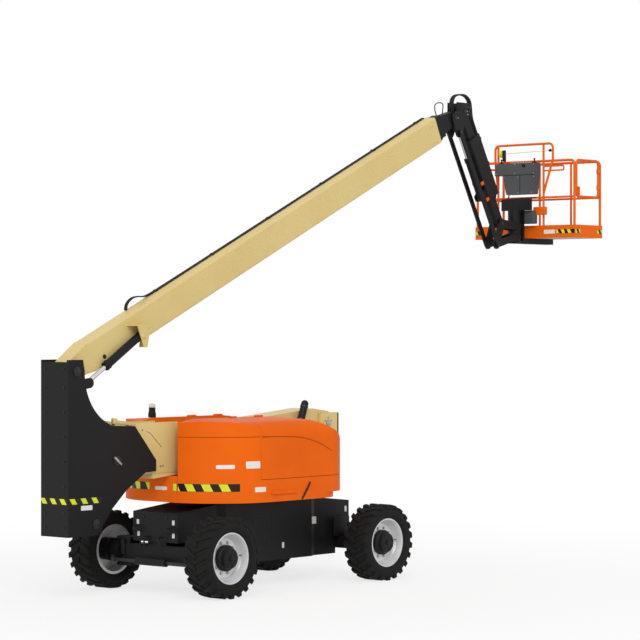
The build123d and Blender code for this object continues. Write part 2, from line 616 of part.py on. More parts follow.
def main_boom():
    """Three nested sections on the upright's top pin, with a lift cylinder on each side."""
    half_w, half_h = BOOM_W / 2, BOOM_H / 2
    base = tube_section(BOOM_HEEL_L, BOOM_BASE_L, BOOM_W, BOOM_H, BOOM_WALL, FIT)
    heel = prism([(0, -BOOM_HEEL_R), (BOOM_HEEL_L, -half_h), (BOOM_HEEL_L, half_h), (0, BOOM_HEEL_R)], -half_w, half_w)
    heel += cross_pin(0, 0, BOOM_HEEL_R, -half_w, half_w)
    reach = UPRIGHT_W / 2 - UPRIGHT_PLATE_T - 0.5
    heel += cross_pin(0, 0, PIN_R + 30, -reach, reach)
    heel -= cross_pin(0, 0, PIN_R + FIT, -reach, reach)
    base = lying(base + heel, BOOM_PIVOT, BOOM_ANGLE)
    bx, bz = LIFT_PIN
    out = LIFT_Y + LIFT_R + RUN_GAP
    left, right, top, tip = bx - 165, bx + 125, bz + 140, bz - 140
    cheek = prism([(left + 60, top), (right, top), (bx + 70, tip), (bx + 10, tip)], out, out + BRACKET_T)
    cover = block(left, right, half_w - 1, out + BRACKET_T, top - BRACKET_T, top)
    face = prism([(right - BRACKET_T, top), (right, top), (bx + 70, tip), (bx + 70 - BRACKET_T, tip)],
                 half_w - 1, out + BRACKET_T)
    bracket = cheek + cover + face + cross_pin(bx, bz, LIFT_PIN_R, half_w - 1, out)
    parts["boom_base"] = base + twin(bracket)

    mid_w, mid_h = BOOM_W - 2 * (BOOM_WALL + SECTION_GAP), BOOM_H - 2 * (BOOM_WALL + SECTION_GAP)
    mid_end = BOOM_BASE_L + BOOM_MID_OUT
    mid = tube_section(BOOM_MID_START, mid_end, mid_w, mid_h, BOOM_WALL, FIT)
    parts["boom_mid"] = lying(mid, BOOM_PIVOT, BOOM_ANGLE)

    fly_w, fly_h = mid_w - 2 * (BOOM_WALL + SECTION_GAP), mid_h - 2 * (BOOM_WALL + SECTION_GAP)
    fly_end = mid_end + BOOM_FLY_OUT
    nose = NOSE_EYE_R
    fly = tube_section(BOOM_FLY_START, fly_end, fly_w, fly_h, BOOM_WALL, FIT)
    fly += prism([(fly_end - 60, -fly_h / 2 + 20), (fly_end, -fly_h / 2 + 20), (KNUCKLE_S, -nose), (KNUCKLE_S, nose),
                  (fly_end, fly_h / 2 - 20), (fly_end - 60, fly_h / 2 - 20)], -NOSE_HALF, NOSE_HALF)
    fly += block(fly_end - 20, fly_end, -fly_w / 2 + 8, fly_w / 2 - 8, -fly_h / 2 + 8, fly_h / 2 - 8)
    fly += cross_pin(KNUCKLE_S, 0, nose, -NOSE_HALF, NOSE_HALF)
    fly -= cross_pin(KNUCKLE_S, 0, JIB_PIN_R + FIT, -NOSE_HALF, NOSE_HALF)
    parts["boom_fly"] = lying(fly, BOOM_PIVOT, BOOM_ANGLE)

    stub = UPRIGHT_W / 2 - UPRIGHT_PLATE_T - LIFT_Y - LIFT_EYE_W / 2 - 0.5
    barrel, rod = cylinder_pair(LIFT_PIN, LIFT_EYE, LIFT_R, LIFT_ROD_R, LIFT_BARREL_L, LIFT_EYE_W, LIFT_Y,
                                LIFT_ROD_IN, LIFT_PIN_R, stub)
    parts["lift_barrels"] = Compound(children=[barrel, mirror(barrel, about=Plane.XZ)])
    parts["lift_rods"] = Compound(children=[rod, mirror(rod, about=Plane.XZ)])


def jib():
    """The levelling knuckle on the boom's nose, the jib with its parallel link, and the rotator head."""
    nose = BOOM_NOSE
    link_top = (JIB_PIVOT[0] + LINK_OFFSET[0], JIB_PIVOT[1] + LINK_OFFSET[1])
    tip = JIB_TIP
    link_tip = along(link_top, JIB_ANGLE, JIB_L)
    near, far = NOSE_HALF + SIDE_GAP, NOSE_HALF + SIDE_GAP + KNUCKLE_T
    link_near = far + SIDE_GAP
    cheek = capsule(nose, JIB_PIVOT, 72, near, far) + capsule(JIB_PIVOT, link_top, 72, near, far)
    cheek += capsule(nose, link_top, 72, near, far)
    cheek += cross_pin(*link_top, JIB_PIN_R, far, link_near + LINK_T)
    pins = cross_pin(*nose, JIB_PIN_R, -near, near) + cross_pin(*JIB_PIVOT, JIB_PIN_R, -near, near)
    parts["jib_knuckle"] = twin(cheek) + pins

    half_w, neck = JIB_W / 2, JIB_NECK_W / 2
    neck_h = 70
    boom = block(JIB_NECK_L, JIB_L - JIB_NECK_L, -half_w, half_w, -JIB_UNDER, JIB_H - JIB_UNDER)
    boom = fillet(boom.edges().filter_by(Axis.X), 24)
    boom += block(0, JIB_L, -neck, neck, -neck_h, neck_h)
    for s in (0, JIB_L):
        boom += cross_pin(s, 0, neck_h, -neck, neck)
        boom -= cross_pin(s, 0, JIB_PIN_R + FIT, -neck, neck)
    foot_s, foot_n = JIB_CYLINDER_FOOT
    lug_y = JIB_CYLINDER_R + SIDE_GAP
    lug = prism([(foot_s - 110, 20 - JIB_UNDER), (foot_s + 110, 20 - JIB_UNDER), (foot_s + 40, foot_n - 40),
                 (foot_s - 40, foot_n - 40)], lug_y, lug_y + 22)
    boom += twin(lug) + cross_pin(foot_s, foot_n, JIB_EYE_PIN_R, -lug_y, lug_y)
    parts["jib_boom"] = lying(boom, JIB_PIVOT, JIB_ANGLE)

    link = capsule(link_top, link_tip, LINK_H / 2, link_near, link_near + LINK_T, bore=JIB_PIN_R + FIT)
    parts["jib_link"] = Compound(children=[link, mirror(link, about=Plane.XZ)])

    foot = along(JIB_PIVOT, JIB_ANGLE, foot_s, foot_n)
    eye = (JIB_PIVOT[0] + JIB_CYLINDER_EYE[0], JIB_PIVOT[1] + JIB_CYLINDER_EYE[1])
    barrel, rod = cylinder_pair(foot, eye, JIB_CYLINDER_R, JIB_ROD_R, JIB_BARREL_L, JIB_EYE_W, 0,
                                JIB_ROD_IN, JIB_EYE_PIN_R, near - JIB_EYE_W / 2 - 0.5)
    parts["jib_cylinder_barrel"], parts["jib_cylinder_rod"] = barrel, rod

    low, high = ROTATOR_Z
    mid = (ROTATOR_X, (low + high) / 2)
    cheek = capsule(tip, link_tip, 66, near, far) + capsule(tip, mid, 60, near, far)
    cheek += capsule(link_tip, (ROTATOR_X, low + 70), 50, near, far)
    cheek += cross_pin(*link_tip, JIB_PIN_R, far, link_near + LINK_T)
    head = twin(cheek) + cross_pin(*tip, JIB_PIN_R, -near, near)
    head += bar((ROTATOR_X, 0, low), (ROTATOR_X, 0, high), ROTATOR_R)
    parts["jib_head"] = head


def tube(points, bend, radius=TUBE_R):
    """A round rail along a bent path."""
    path = FilletPolyline(*points, radius=bend)
    return sweep(Plane(origin=path @ 0, z_dir=path % 0) * Circle(radius), path)


def platform():
    """The rotating support, floor, kick plates, rails, gate and console of the work platform."""
    low, high = ROTATOR_Z
    back, front = PLATFORM_REAR, PLATFORM_REAR + PLATFORM_DEPTH
    half = PLATFORM_W / 2
    arm_low = low - 40 - 0.5
    riser = (ROTATOR_X + ROTATOR_R + 25, ROTATOR_X + ROTATOR_R + 65)
    support = block(ROTATOR_X, front - 60, -70, 70, arm_low, low - 0.5)
    support += block(riser[0], front - 60, -70, 70, low - 0.5, PLATFORM_FLOOR)
    support += block(*riser, -70, 70, low - 0.5, high + 40.5)
    support += block(ROTATOR_X, riser[1], -70, 70, high + 0.5, high + 40.5)
    mount_top = PLATFORM_MID_RAIL - MID_RAIL_R
    support += block(*riser, *MOUNT_Y, high + 40.5, mount_top)
    support += block(riser[0], back + 2 * TUBE_R, -70, 70, high + 60, mount_top)
    for z in (arm_low + 20, high + 20.5):
        support += Pos(ROTATOR_X, 0, z) * Cylinder(ROTATOR_R, 40)
    parts["platform_support"] = support

    parts["platform_floor"] = block(back, front, -half, half, PLATFORM_FLOOR, PLATFORM_FLOOR + FLOOR_T)
    ring = block(back - KICK_T, front + KICK_T, -half - KICK_T, half + KICK_T, PLATFORM_FLOOR, PLATFORM_FLOOR + KICK_H)
    ring -= block(back, front, -half, half, PLATFORM_FLOOR - 1, PLATFORM_FLOOR + KICK_H + 1)
    parts["kick_plates"] = ring

    inset = TUBE_R
    x0, x1, y0, y1 = back + inset, front - inset, -half + inset, half - inset
    foot, top, mid = PLATFORM_FLOOR + FLOOR_T, PLATFORM_RAIL_TOP - TUBE_R, PLATFORM_MID_RAIL
    rails = tube([(x0, y0, foot), (x0, y0, top), (x0, y1, top), (x0, y1, foot)], RAIL_BEND)
    rails += tube([(x1, y0, foot), (x1, y0, top), (x1, y1, top), (x1, y1, foot)], RAIL_BEND)
    for y in HOOP_POST_Y:
        rails += bar((x0, y, foot), (x0, y, HOOP_TOP), POST_R)
    for y in FRONT_POST_Y:
        rails += bar((x1, y, foot), (x1, y, top), POST_R)
    for x in (x0, x1):
        rails += bar((x, y0, mid), (x, y1, mid), MID_RAIL_R)
    for z in (mid, top - RAIL_BEND):
        rails += bar((x0, y1, z), (x1, y1, z), POST_R)
    (a, b), (post_a, post_b) = HOOP_Y, HOOP_POST_Y
    leg_low = PLATFORM_RAIL_TOP - HOOP_LEG_DROP
    rails += tube([(x0, post_a, leg_low), (x0, a, PLATFORM_RAIL_TOP), (x0, a, HOOP_TOP), (x0, b, HOOP_TOP),
                   (x0, b, PLATFORM_RAIL_TOP), (x0, post_b, leg_low)], RAIL_BEND, HOOP_R)
    g0, g1 = x0 + 2 * TUBE_R + SIDE_GAP, x1 - 2 * TUBE_R - SIDE_GAP
    gate_mid = (mid + top) / 2
    for z in (mid + GATE_HINGE_IN, top - GATE_HINGE_IN):
        rails += Pos(g1, y0, z) * Cylinder(TUBE_R + GATE_SLEEVE_T, GATE_SLEEVE_L)
        rails += block(g1 + TUBE_R, x1, y0 - 8, y0 + 8, z - GATE_SLEEVE_L / 2 + 5, z + GATE_SLEEVE_L / 2 - 5)
        rails -= Pos(g1, y0, z) * Cylinder(TUBE_R + FIT, GATE_SLEEVE_L + 10)
    c0, c1 = CONSOLE_Y
    seat_x = x0 - TUBE_R - 2
    rails += block(seat_x, x0 + 2, c0 + 40, c1 - 40, CONSOLE_Z - 80, top)
    parts["platform_rails"] = rails

    gate = tube([(g0, y0, gate_mid), (g0, y0, top), (g1, y0, top), (g1, y0, gate_mid)], RAIL_BEND)
    gate += tube([(g0, y0, gate_mid), (g0, y0, mid), (g1, y0, mid), (g1, y0, gate_mid)], RAIL_BEND)
    parts["platform_gate"] = gate

    cx = seat_x - CONSOLE_DEPTH
    seam_z = CONSOLE_Z - CONSOLE_HEAD_H
    box = block(cx, seat_x, c0, c1, seam_z, CONSOLE_Z)
    sections = []
    for z, edge_in in ((seam_z, (0, 148)), (CONSOLE_Z - CONSOLE_H, (45, 210))):
        near_y, far_y = c0 + edge_in[0], c1 - edge_in[1]
        middle = Plane(origin=(cx + CONSOLE_DEPTH / 2, (near_y + far_y) / 2, z))
        sections.append(middle * Rectangle(CONSOLE_DEPTH, far_y - near_y))
    taper = loft(sections)
    parts["console"] = box + taper


wheels()
axles()
chassis()
hoods()
turntable()
turntable_equipment()
tower()
upright()
main_boom()
jib()
platform()

os.makedirs("parts", exist_ok=True)
for node, shape in parts.items():
    export_step(shape, f"parts/{node}.step")
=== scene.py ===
import json
import math

import bmesh
import bpy
from mathutils import Matrix, Vector


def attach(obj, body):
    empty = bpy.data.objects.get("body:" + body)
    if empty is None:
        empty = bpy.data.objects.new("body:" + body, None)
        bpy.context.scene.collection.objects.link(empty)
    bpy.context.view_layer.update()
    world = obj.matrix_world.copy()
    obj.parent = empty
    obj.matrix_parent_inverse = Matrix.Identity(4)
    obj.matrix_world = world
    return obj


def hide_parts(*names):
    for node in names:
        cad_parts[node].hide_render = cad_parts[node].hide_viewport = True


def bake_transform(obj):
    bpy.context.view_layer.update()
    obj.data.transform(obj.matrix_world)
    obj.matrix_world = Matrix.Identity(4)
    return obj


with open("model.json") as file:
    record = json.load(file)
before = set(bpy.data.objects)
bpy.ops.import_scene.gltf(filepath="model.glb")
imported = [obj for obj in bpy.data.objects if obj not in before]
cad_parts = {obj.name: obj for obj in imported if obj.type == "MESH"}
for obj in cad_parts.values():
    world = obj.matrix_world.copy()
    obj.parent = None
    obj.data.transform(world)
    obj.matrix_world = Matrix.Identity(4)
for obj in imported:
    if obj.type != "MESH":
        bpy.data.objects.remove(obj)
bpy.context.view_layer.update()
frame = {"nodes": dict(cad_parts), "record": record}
nodes = frame["nodes"]
MM = 0.001

# The ways that faces look, and the two sides with the sign of their Y.
NEAR, FAR, FRONT, REAR, UP = (0, -1, 0), (0, 1, 0), (1, 0, 0), (-1, 0, 0), (0, 0, 1)
SIDES = (("near", -1, NEAR), ("far", 1, FAR))

# Places that several pieces share, in metres. A pin is its X and Z, a rise is in degrees.
AXLE_X, AXLE_Z, WHEEL_Y = 1.525, 0.510, 1.0275
BOOM_PIN, BOOM_RISE, BOOM_TOP, BOOM_SIDE = (-3.255, 2.845), 24.8, 0.192, 0.120
JIB_PIN, JIB_RISE = (4.620, 6.490), -60.8
KNUCKLE_PIN = (4.400, 6.382)
TOWER_PIN = (1.400, 2.080)
UPRIGHT_PIN, UPRIGHT_FOOT_PIN = (-2.570, 1.730), (-2.933, 0.974)
HOOD_REAR_X = -1.600
WHEELS = [(end, side, x, sign * WHEEL_Y) for end, x in (("steer", -AXLE_X), ("drive", AXLE_X))
          for side, sign, _ in SIDES]


def linear(hex_colour):
    """An sRGB hex value as a linear colour."""
    channels = [int(hex_colour[i:i + 2], 16) / 255 for i in (1, 3, 5)]
    return [c / 12.92 if c <= 0.04045 else ((c + 0.055) / 1.055) ** 2.4 for c in channels] + [1.0]


def add(tree, kind, settings=None, **inputs):
    """Adds a node: settings are its properties, inputs are values or the sockets that feed it."""
    made = tree.nodes.new(kind)
    for key, value in (settings or {}).items():
        setattr(made, key, value)
    for key, value in inputs.items():
        by_number = key[0] == "i" and key[1:].isdigit()
        socket = made.inputs[int(key[1:]) if by_number else key.replace("_", " ")]
        if isinstance(value, bpy.types.NodeSocket):
            tree.links.new(value, socket)
        else:
            socket.default_value = value
    return made


def finish_material(name, colour, worn, spread_mm, rough, rough_worn, grain_mm, grain_depth,
                    mottle=0.5, metallic=0.0, coat=0.0, shine=0.5):
    """A coat over a made surface: colour drifts towards worn in soft patches, the gloss drifts with it,
    and a fine grain lifts the surface."""
    patch_start = 0.42
    material = bpy.data.materials.new(name)
    material.use_nodes = True
    tree = material.node_tree
    shader = tree.nodes["Principled BSDF"]
    place = add(tree, "ShaderNodeTexCoord").outputs["Object"]
    patch = add(tree, "ShaderNodeTexNoise", Vector=place, Scale=1 / (spread_mm * MM), Detail=5.0,
                Roughness=0.6)
    tint = add(tree, "ShaderNodeValToRGB", Fac=patch.outputs["Fac"])
    for stop, at, shade in zip(tint.color_ramp.elements, (patch_start, patch_start + mottle), (colour, worn)):
        stop.position = at
        stop.color = linear(shade)
    gloss = add(tree, "ShaderNodeMapRange", Value=patch.outputs["Fac"], From_Min=0.35, From_Max=0.7,
                To_Min=rough, To_Max=rough_worn)
    grain = add(tree, "ShaderNodeTexNoise", Vector=place, Scale=1 / (grain_mm * MM), Detail=2.0)
    relief = add(tree, "ShaderNodeBump", Height=grain.outputs["Fac"], Strength=grain_depth,
                 Distance=grain_mm * MM * 0.5)
    tree.links.new(tint.outputs["Color"], shader.inputs["Base Color"])
    tree.links.new(gloss.outputs["Result"], shader.inputs["Roughness"])
    tree.links.new(relief.outputs["Normal"], shader.inputs["Normal"])
    shader.inputs["Metallic"].default_value = metallic
    shader.inputs["Coat Weight"].default_value = coat
    shader.inputs["Specular IOR Level"].default_value = shine
    return material


# Sprayed two-pack enamel on steel sheet: an even colour with a soft clear gloss and faint orange peel.
orange = finish_material("orange_enamel", "#EE6812", "#E15D0C", spread_mm=900, rough=0.42, rough_worn=0.52,
                         grain_mm=14, grain_depth=0.05, coat=0.02, shine=0.05)
cream = finish_material("cream_enamel", "#DEC684", "#D2B974", spread_mm=1100, rough=0.38, rough_worn=0.48,
                        grain_mm=14, grain_depth=0.05, coat=0.05, shine=0.3)
# Powder coat: satin black with a fine pebbled skin, drawn at 9 mm so that it shows.
black = finish_material("black_powder_coat", "#121213", "#181717", spread_mm=700, rough=0.46, rough_worn=0.58,
                        grain_mm=9, grain_depth=0.12, mottle=0.4, shine=0.2)
# Moulded rubber, dusty in patches, nearly without gloss.
rubber = finish_material("tyre_rubber", "#171717", "#211F1D", spread_mm=160, rough=0.8, rough_worn=0.92,
                         grain_mm=6, grain_depth=0.3, mottle=0.35, shine=0.2)
# Pressed steel sprayed silver, with a soft metallic gloss.
silver = finish_material("silver_wheel_paint", "#DADBDC", "#C6C7C6", spread_mm=220, rough=0.34,
                         rough_worn=0.46, grain_mm=8, grain_depth=0.05, metallic=0.35)
# Hard chrome on a ground rod: a mirror with the faintest grinding haze.
chrome = finish_material("hard_chrome", "#D5D8DA", "#C2C6C8", spread_mm=120, rough=0.12, rough_worn=0.18,
                         grain_mm=5, grain_depth=0.02, metallic=1.0)
# Zinc-plated steel of pins, bolts and clamps: a grey metal with a soft, uneven shine.
zinc = finish_material("zinc_plate", "#A9AAAA", "#8D8E8C", spread_mm=40, rough=0.34, rough_worn=0.46,
                       grain_mm=4, grain_depth=0.06, metallic=0.9)
# Blackened steel of bolts, pins and bands: dark, with a dull metallic edge.
dark_steel = finish_material("blackened_steel", "#2A2A2B", "#363534", spread_mm=50, rough=0.4, rough_worn=0.5,
                             grain_mm=5, grain_depth=0.08, metallic=0.3, shine=0.3)
# Moulded ABS with a leathery grain, in grey for the boxes and in black for hoses, grips and caps.
grey_plastic = finish_material("grey_moulded_abs", "#4F5152", "#474949", spread_mm=260, rough=0.55,
                               rough_worn=0.62, grain_mm=6, grain_depth=0.18, shine=0.25)
black_plastic = finish_material("black_moulded_abs", "#151516", "#1B1B1B", spread_mm=200, rough=0.5,
                                rough_worn=0.6, grain_mm=6, grain_depth=0.15, shine=0.25)
# Bare tread plate of the platform's floor: scuffed bright steel with a coarse raised grain.
tread = finish_material("steel_tread_plate", "#8C8D8D", "#767777", spread_mm=150, rough=0.4, rough_worn=0.55,
                        grain_mm=24, grain_depth=0.5, metallic=0.8)
# Sand-cast iron, rough and dark.
cast_iron = finish_material("cast_iron", "#2E2E2F", "#3C3A38", spread_mm=120, rough=0.6, rough_worn=0.75,
                            grain_mm=7, grain_depth=0.35, mottle=0.4, metallic=0.3, shine=0.3)
# Vinyl film: smooth, with a low sheen.
white_film = finish_material("white_vinyl_film", "#E4E4E0", "#D8D8D3", spread_mm=200, rough=0.38,
                             rough_worn=0.46, grain_mm=10, grain_depth=0.02, shine=0.3)
yellow_film = finish_material("yellow_reflective_film", "#DCE22A", "#CFD624", spread_mm=120, rough=0.36,
                              rough_worn=0.44, grain_mm=6, grain_depth=0.06, shine=0.3)
black_film = finish_material("black_reflective_film", "#141414", "#191919", spread_mm=120, rough=0.36,
                             rough_worn=0.44, grain_mm=6, grain_depth=0.06, shine=0.25)
# Painted shade: a darker orange than the enamel and without its gloss, laid along the hoods' creases to stand
# in for their shadow.
crease_shade = finish_material("orange_crease_shade", "#9A400E", "#8A390C", spread_mm=200, rough=0.6,
                          rough_worn=0.7, grain_mm=6, grain_depth=0.1, shine=0.1)
# Red moulded plastic of the stop button: a clear colour with a soft gloss.
red_plastic = finish_material("red_moulded_abs", "#C01C16", "#AC150F", spread_mm=60, rough=0.35,
                              rough_worn=0.42, grain_mm=5, grain_depth=0.06, shine=0.35)

NODE_FINISHES = {"tyre": rubber, "rim": silver, "orange": orange, "cream": cream, "chrome": chrome,
                 "floor": tread, "plastic": black_plastic, "black": black}
for row in frame["record"]["subparts"]:
    node = nodes[row["node"]]
    node.data.materials.clear()
    node.data.materials.append(NODE_FINISHES[row["material_slot"]])
for name, finish in (("console", grey_plastic), ("engine", cast_iron), ("steer_rod", dark_steel),
                     ("steer_cylinder", black)):
    nodes[name].data.materials[0] = finish


def new_piece(name, mesh, finish, body):
    """Makes an object of a bmesh, with its finish, riding on a body where one is given."""
    bmesh.ops.recalc_face_normals(mesh, faces=mesh.faces)
    data = bpy.data.meshes.new(name)
    mesh.to_mesh(data)
    mesh.free()
    piece = bpy.data.objects.new(name, data)
    bpy.context.scene.collection.objects.link(piece)
    data.materials.append(finish)
    data.shade_smooth()
    data.set_sharp_from_angle(angle=math.radians(35))
    if body:
        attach(piece, body)
    return piece


def stand_at(point, facing):
    """A frame at a point whose +Z looks the way given."""
    return Matrix.Translation(point) @ Vector(facing).to_track_quat("Z", "Y").to_matrix().to_4x4()


def ring(centre, radius, turns, facing):
    """Bolt seats on a circle in an upright plane along X, one at each turn in radians."""
    x, y, z = centre
    return [((x + radius * math.cos(turn), y, z + radius * math.sin(turn)), facing) for turn in turns]


def bolts(name, seats, size, finish, body):
    """Hexagon heads on washers: each seat is a point and the way it faces, size is the head's half width."""
    washer_thick, head_tall, head_middle = size * 0.24, size * 0.7, size * 0.55
    mesh = bmesh.new()
    for point, facing in seats:
        stand = stand_at(point, facing)
        bmesh.ops.create_cone(mesh, cap_ends=True, segments=18, radius1=size * 1.35, radius2=size * 1.3,
                              depth=washer_thick, matrix=stand @ Matrix.Translation((0, 0, washer_thick / 2)))
        bmesh.ops.create_cone(mesh, cap_ends=True, segments=6, radius1=size, radius2=size * 0.94,
                              depth=head_tall, matrix=stand @ Matrix.Translation((0, 0, head_middle)))
    return new_piece(name, mesh, finish, body)


def turned_piece(name, profile, stands, finish, body, steps):
    """A profile of (radius, height) spun about each stand's own Z axis."""
    mesh = bmesh.new()
    for stand in stands:
        chain = [mesh.verts.new((radius, 0, height)) for radius, height in profile]
        edges = [mesh.edges.new(pair) for pair in zip(chain, chain[1:])]
        bmesh.ops.spin(mesh, geom=chain + edges, cent=(0, 0, 0), axis=UP, angle=math.tau, steps=steps,
                       use_merge=True)
        fresh = [v for v in mesh.verts if not v.tag]
        bmesh.ops.transform(mesh, matrix=stand, verts=fresh)
        for vertex in mesh.verts:
            vertex.tag = True
    bmesh.ops.remove_doubles(mesh, verts=mesh.verts, dist=1e-5)
    return new_piece(name, mesh, finish, body)


def thicken(mesh, thick):
    """Lifts a flat mesh along +Z into a plate."""
    lifted = bmesh.ops.extrude_face_region(mesh, geom=mesh.faces[:])["geom"]
    tops = [v for v in lifted if isinstance(v, bmesh.types.BMVert)]
    bmesh.ops.translate(mesh, verts=tops, vec=(0, 0, thick))


def film(name, centre, facing, width, height, finish, body, corner=0.01, thick=0.002):
    """A thin upright plate or film with rounded corners, lying on a flat face at its centre."""
    mesh = bmesh.new()
    bmesh.ops.create_grid(mesh, x_segments=1, y_segments=1, size=0.5)
    bmesh.ops.scale(mesh, vec=(width, height, 1), verts=mesh.verts)
    bmesh.ops.bevel(mesh, geom=mesh.verts[:], offset=corner, segments=4, profile=0.5, affect="VERTICES",
                    material=-1)
    thicken(mesh, thick)
    across = Vector(UP).cross(Vector(facing))
    stand = Matrix((across, UP, facing)).transposed().to_4x4()
    stand.translation = centre
    bmesh.ops.transform(mesh, matrix=stand, verts=mesh.verts)
    return new_piece(name, mesh, finish, body)


def blocks(name, boxes, edge, finish, body, stand=Matrix.Identity(4)):
    """Boxes with rounded edges, each given by its lowest and highest corner in the stand's frame."""
    mesh = bmesh.new()
    for low, high in boxes:
        low, high = Vector(low), Vector(high)
        made = bmesh.ops.create_cube(mesh, size=1)["verts"]
        bmesh.ops.scale(mesh, vec=high - low, verts=made)
        bmesh.ops.translate(mesh, vec=(low + high) / 2, verts=made)
    bmesh.ops.bevel(mesh, geom=mesh.edges[:], offset=edge, segments=3, profile=0.5, affect="EDGES",
                    material=-1)
    bmesh.ops.transform(mesh, matrix=stand, verts=mesh.verts)
    return new_piece(name, mesh, finish, body)


def hose(name, runs, radius, finish, body):
    """Hoses or bent rods, each along one smooth line through its control points."""
    line = bpy.data.curves.new(name, "CURVE")
    line.dimensions = "3D"
    line.bevel_depth = radius
    line.bevel_resolution = 3
    line.resolution_u = 10
    line.use_fill_caps = True
    for points in runs:
        spline = line.splines.new("NURBS")
        spline.points.add(len(points) - 1)
        for control, place in zip(spline.points, points):
            control.co = (*place, 1)
        spline.order_u = 3
        spline.use_endpoint_u = True
        spline.use_smooth = True
    holder = bpy.data.objects.new(name + "_line", line)
    bpy.context.scene.collection.objects.link(holder)
    bpy.context.view_layer.update()
    data = bpy.data.meshes.new_from_object(holder.evaluated_get(bpy.context.evaluated_depsgraph_get()))
    bpy.data.objects.remove(holder)
    mesh = bmesh.new()
    mesh.from_mesh(data)
    bpy.data.meshes.remove(data)
    bmesh.ops.remove_doubles(mesh, verts=mesh.verts, dist=1e-5)
    return new_piece(name, mesh, finish, body)


def beam_point(pin, rise, along, side, up):
    """A point in a beam's own directions, from its pin, for a beam that rises by so many degrees."""
    turn = math.radians(rise)
    return Vector((pin[0] + along * math.cos(turn) - up * math.sin(turn), side,
                   pin[1] + along * math.sin(turn) + up * math.cos(turn)))


def boom_point(along, side, up):
    """A point in the main boom's own directions, from its heel pin."""
    return beam_point(BOOM_PIN, BOOM_RISE, along, side, up)


def jib_point(along, side, up):
    """A point in the jib's own directions, from its upper pin."""
    return beam_point(JIB_PIN, JIB_RISE, along, side, up)


def beam_stand(pin, rise):
    """The frame of a beam, at its pin, with +X along it."""
    return Matrix.Translation((pin[0], 0, pin[1])) @ Matrix.Rotation(math.radians(-rise), 4, "Y")


def side_box(side, low, high):
    """A box of one side: low and high give its corners with Y measured outwards from the middle."""
    inner, outer = sorted((side * low[1], side * high[1]))
    return (low[0], inner, low[2]), (high[0], outer, high[2])


def wheel_details():
    """Wheel nuts on studs round each hub, the hub's cover bolts and cap, and the valve stem on the rim."""
    nut_count, nut_ring, nut_out = 10, 0.196, 0.040
    cover_count, cover_ring, cover_out = 8, 0.094, 0.1615
    cap_profile, cap_out = [(0, 0.016), (0.030, 0.016), (0.036, 0.012), (0.040, 0.0)], 0.164
    stem_bends, stem_up = ((0.262, 0.046), (0.262, 0.075), (0.250, 0.098)), 0.02
    for end, side, x, y in WHEELS:
        out = math.copysign(1, y)
        body, facing = f"wheel_{end}_{side}", (0, out, 0)
        turns = [math.tau * i / nut_count for i in range(nut_count)]
        seats = ring((x, y + out * nut_out, AXLE_Z), nut_ring, turns, facing)
        bolts(f"wheel_nuts_{end}_{side}", seats, 0.0165, zinc, body)
        turns = [math.tau * (i + 0.5) / cover_count for i in range(cover_count)]
        seats = ring((x, y + out * cover_out, AXLE_Z), cover_ring, turns, facing)
        bolts(f"hub_bolts_{end}_{side}", seats, 0.010, dark_steel, body)
        cap = stand_at((x, y + out * cap_out, AXLE_Z), facing)
        turned_piece(f"hub_cap_{end}_{side}", cap_profile, [cap], black, body, 24)
        stem = [(x + dx, y + out * dy, AXLE_Z + stem_up) for dx, dy in stem_bends]
        hose(f"valve_stem_{end}_{side}", [stem], 0.006, black_plastic, body)


def lie_on(mesh, path, low, proud, flip):
    """Lays a flat mesh on a wall: its X runs along the wall's path, its Y up from low, its Z stands proud.
    A flip of -1 lays it on the same wall of the far side."""
    for vertex in mesh.verts:
        point, facing = path(vertex.co.x)
        vertex.co = point + facing * (vertex.co.z + proud) + Vector((0, 0, low + vertex.co.y))
        vertex.co.y *= flip


def film_on(name, path, span, heights, finish, body, thick=0.0015, corner=0.0, flip=1):
    """A film on a wall, over a span of the wall's path and between two heights."""
    (start, end), (low, high) = span, heights
    facet = 0.04
    mesh = bmesh.new()
    bmesh.ops.create_grid(mesh, x_segments=max(2, int((end - start) / facet)), y_segments=1, size=0.5)
    place = Matrix.Translation(((start + end) / 2, (high - low) / 2, 0))
    stretch = Matrix.Diagonal((end - start, high - low, 1, 1))
    bmesh.ops.transform(mesh, matrix=place @ stretch, verts=mesh.verts)
    if corner:
        ends = [v for v in mesh.verts if min(v.co.x - start, end - v.co.x) < 1e-6]
        bmesh.ops.bevel(mesh, geom=ends, offset=corner, segments=3, profile=0.5, affect="VERTICES",
                        material=-1)
    thicken(mesh, thick)
    lie_on(mesh, path, low, 0.0, flip)
    return new_piece(name, mesh, finish, body)


def stripes_on(name, path, span, heights, body, pitch, lean, flip=1, first=None, share=0.5):
    """Slanted yellow bars on a black film, along a wall's path, cut square at both ends. The first bar begins
    at first, and a bar takes its share of each pitch."""
    (start, end), (low, high) = span, heights
    margin, bar_thick, bar_proud = 0.003, 0.001, 0.0012
    film_on(name + "_ground", path, span, heights, black_film, body, flip=flip)
    mesh = bmesh.new()
    tall, wide = high - low, pitch * share
    place = (start if first is None else first) - lean / 2
    while place + abs(lean) < end:
        made = bmesh.ops.create_grid(mesh, x_segments=3, y_segments=2, size=0.5)["verts"]
        middle = Matrix.Translation((place + wide / 2, tall / 2, 0))
        stretch = Matrix.Diagonal((wide, tall - 2 * margin, 1, 1))
        bmesh.ops.transform(mesh, matrix=middle @ stretch, verts=made)
        for vertex in made:
            vertex.co.x -= lean * (vertex.co.y / tall - 0.5)
        place += pitch
    for at, side in ((start + margin, -1), (end - margin, 1)):
        bmesh.ops.bisect_plane(mesh, geom=mesh.verts[:] + mesh.edges[:] + mesh.faces[:], plane_co=(at, 0, 0),
                               plane_no=(side, 0, 0), clear_outer=True)
    thicken(mesh, bar_thick)
    lie_on(mesh, path, low, bar_proud, flip)
    return new_piece(name, mesh, yellow_film, body)


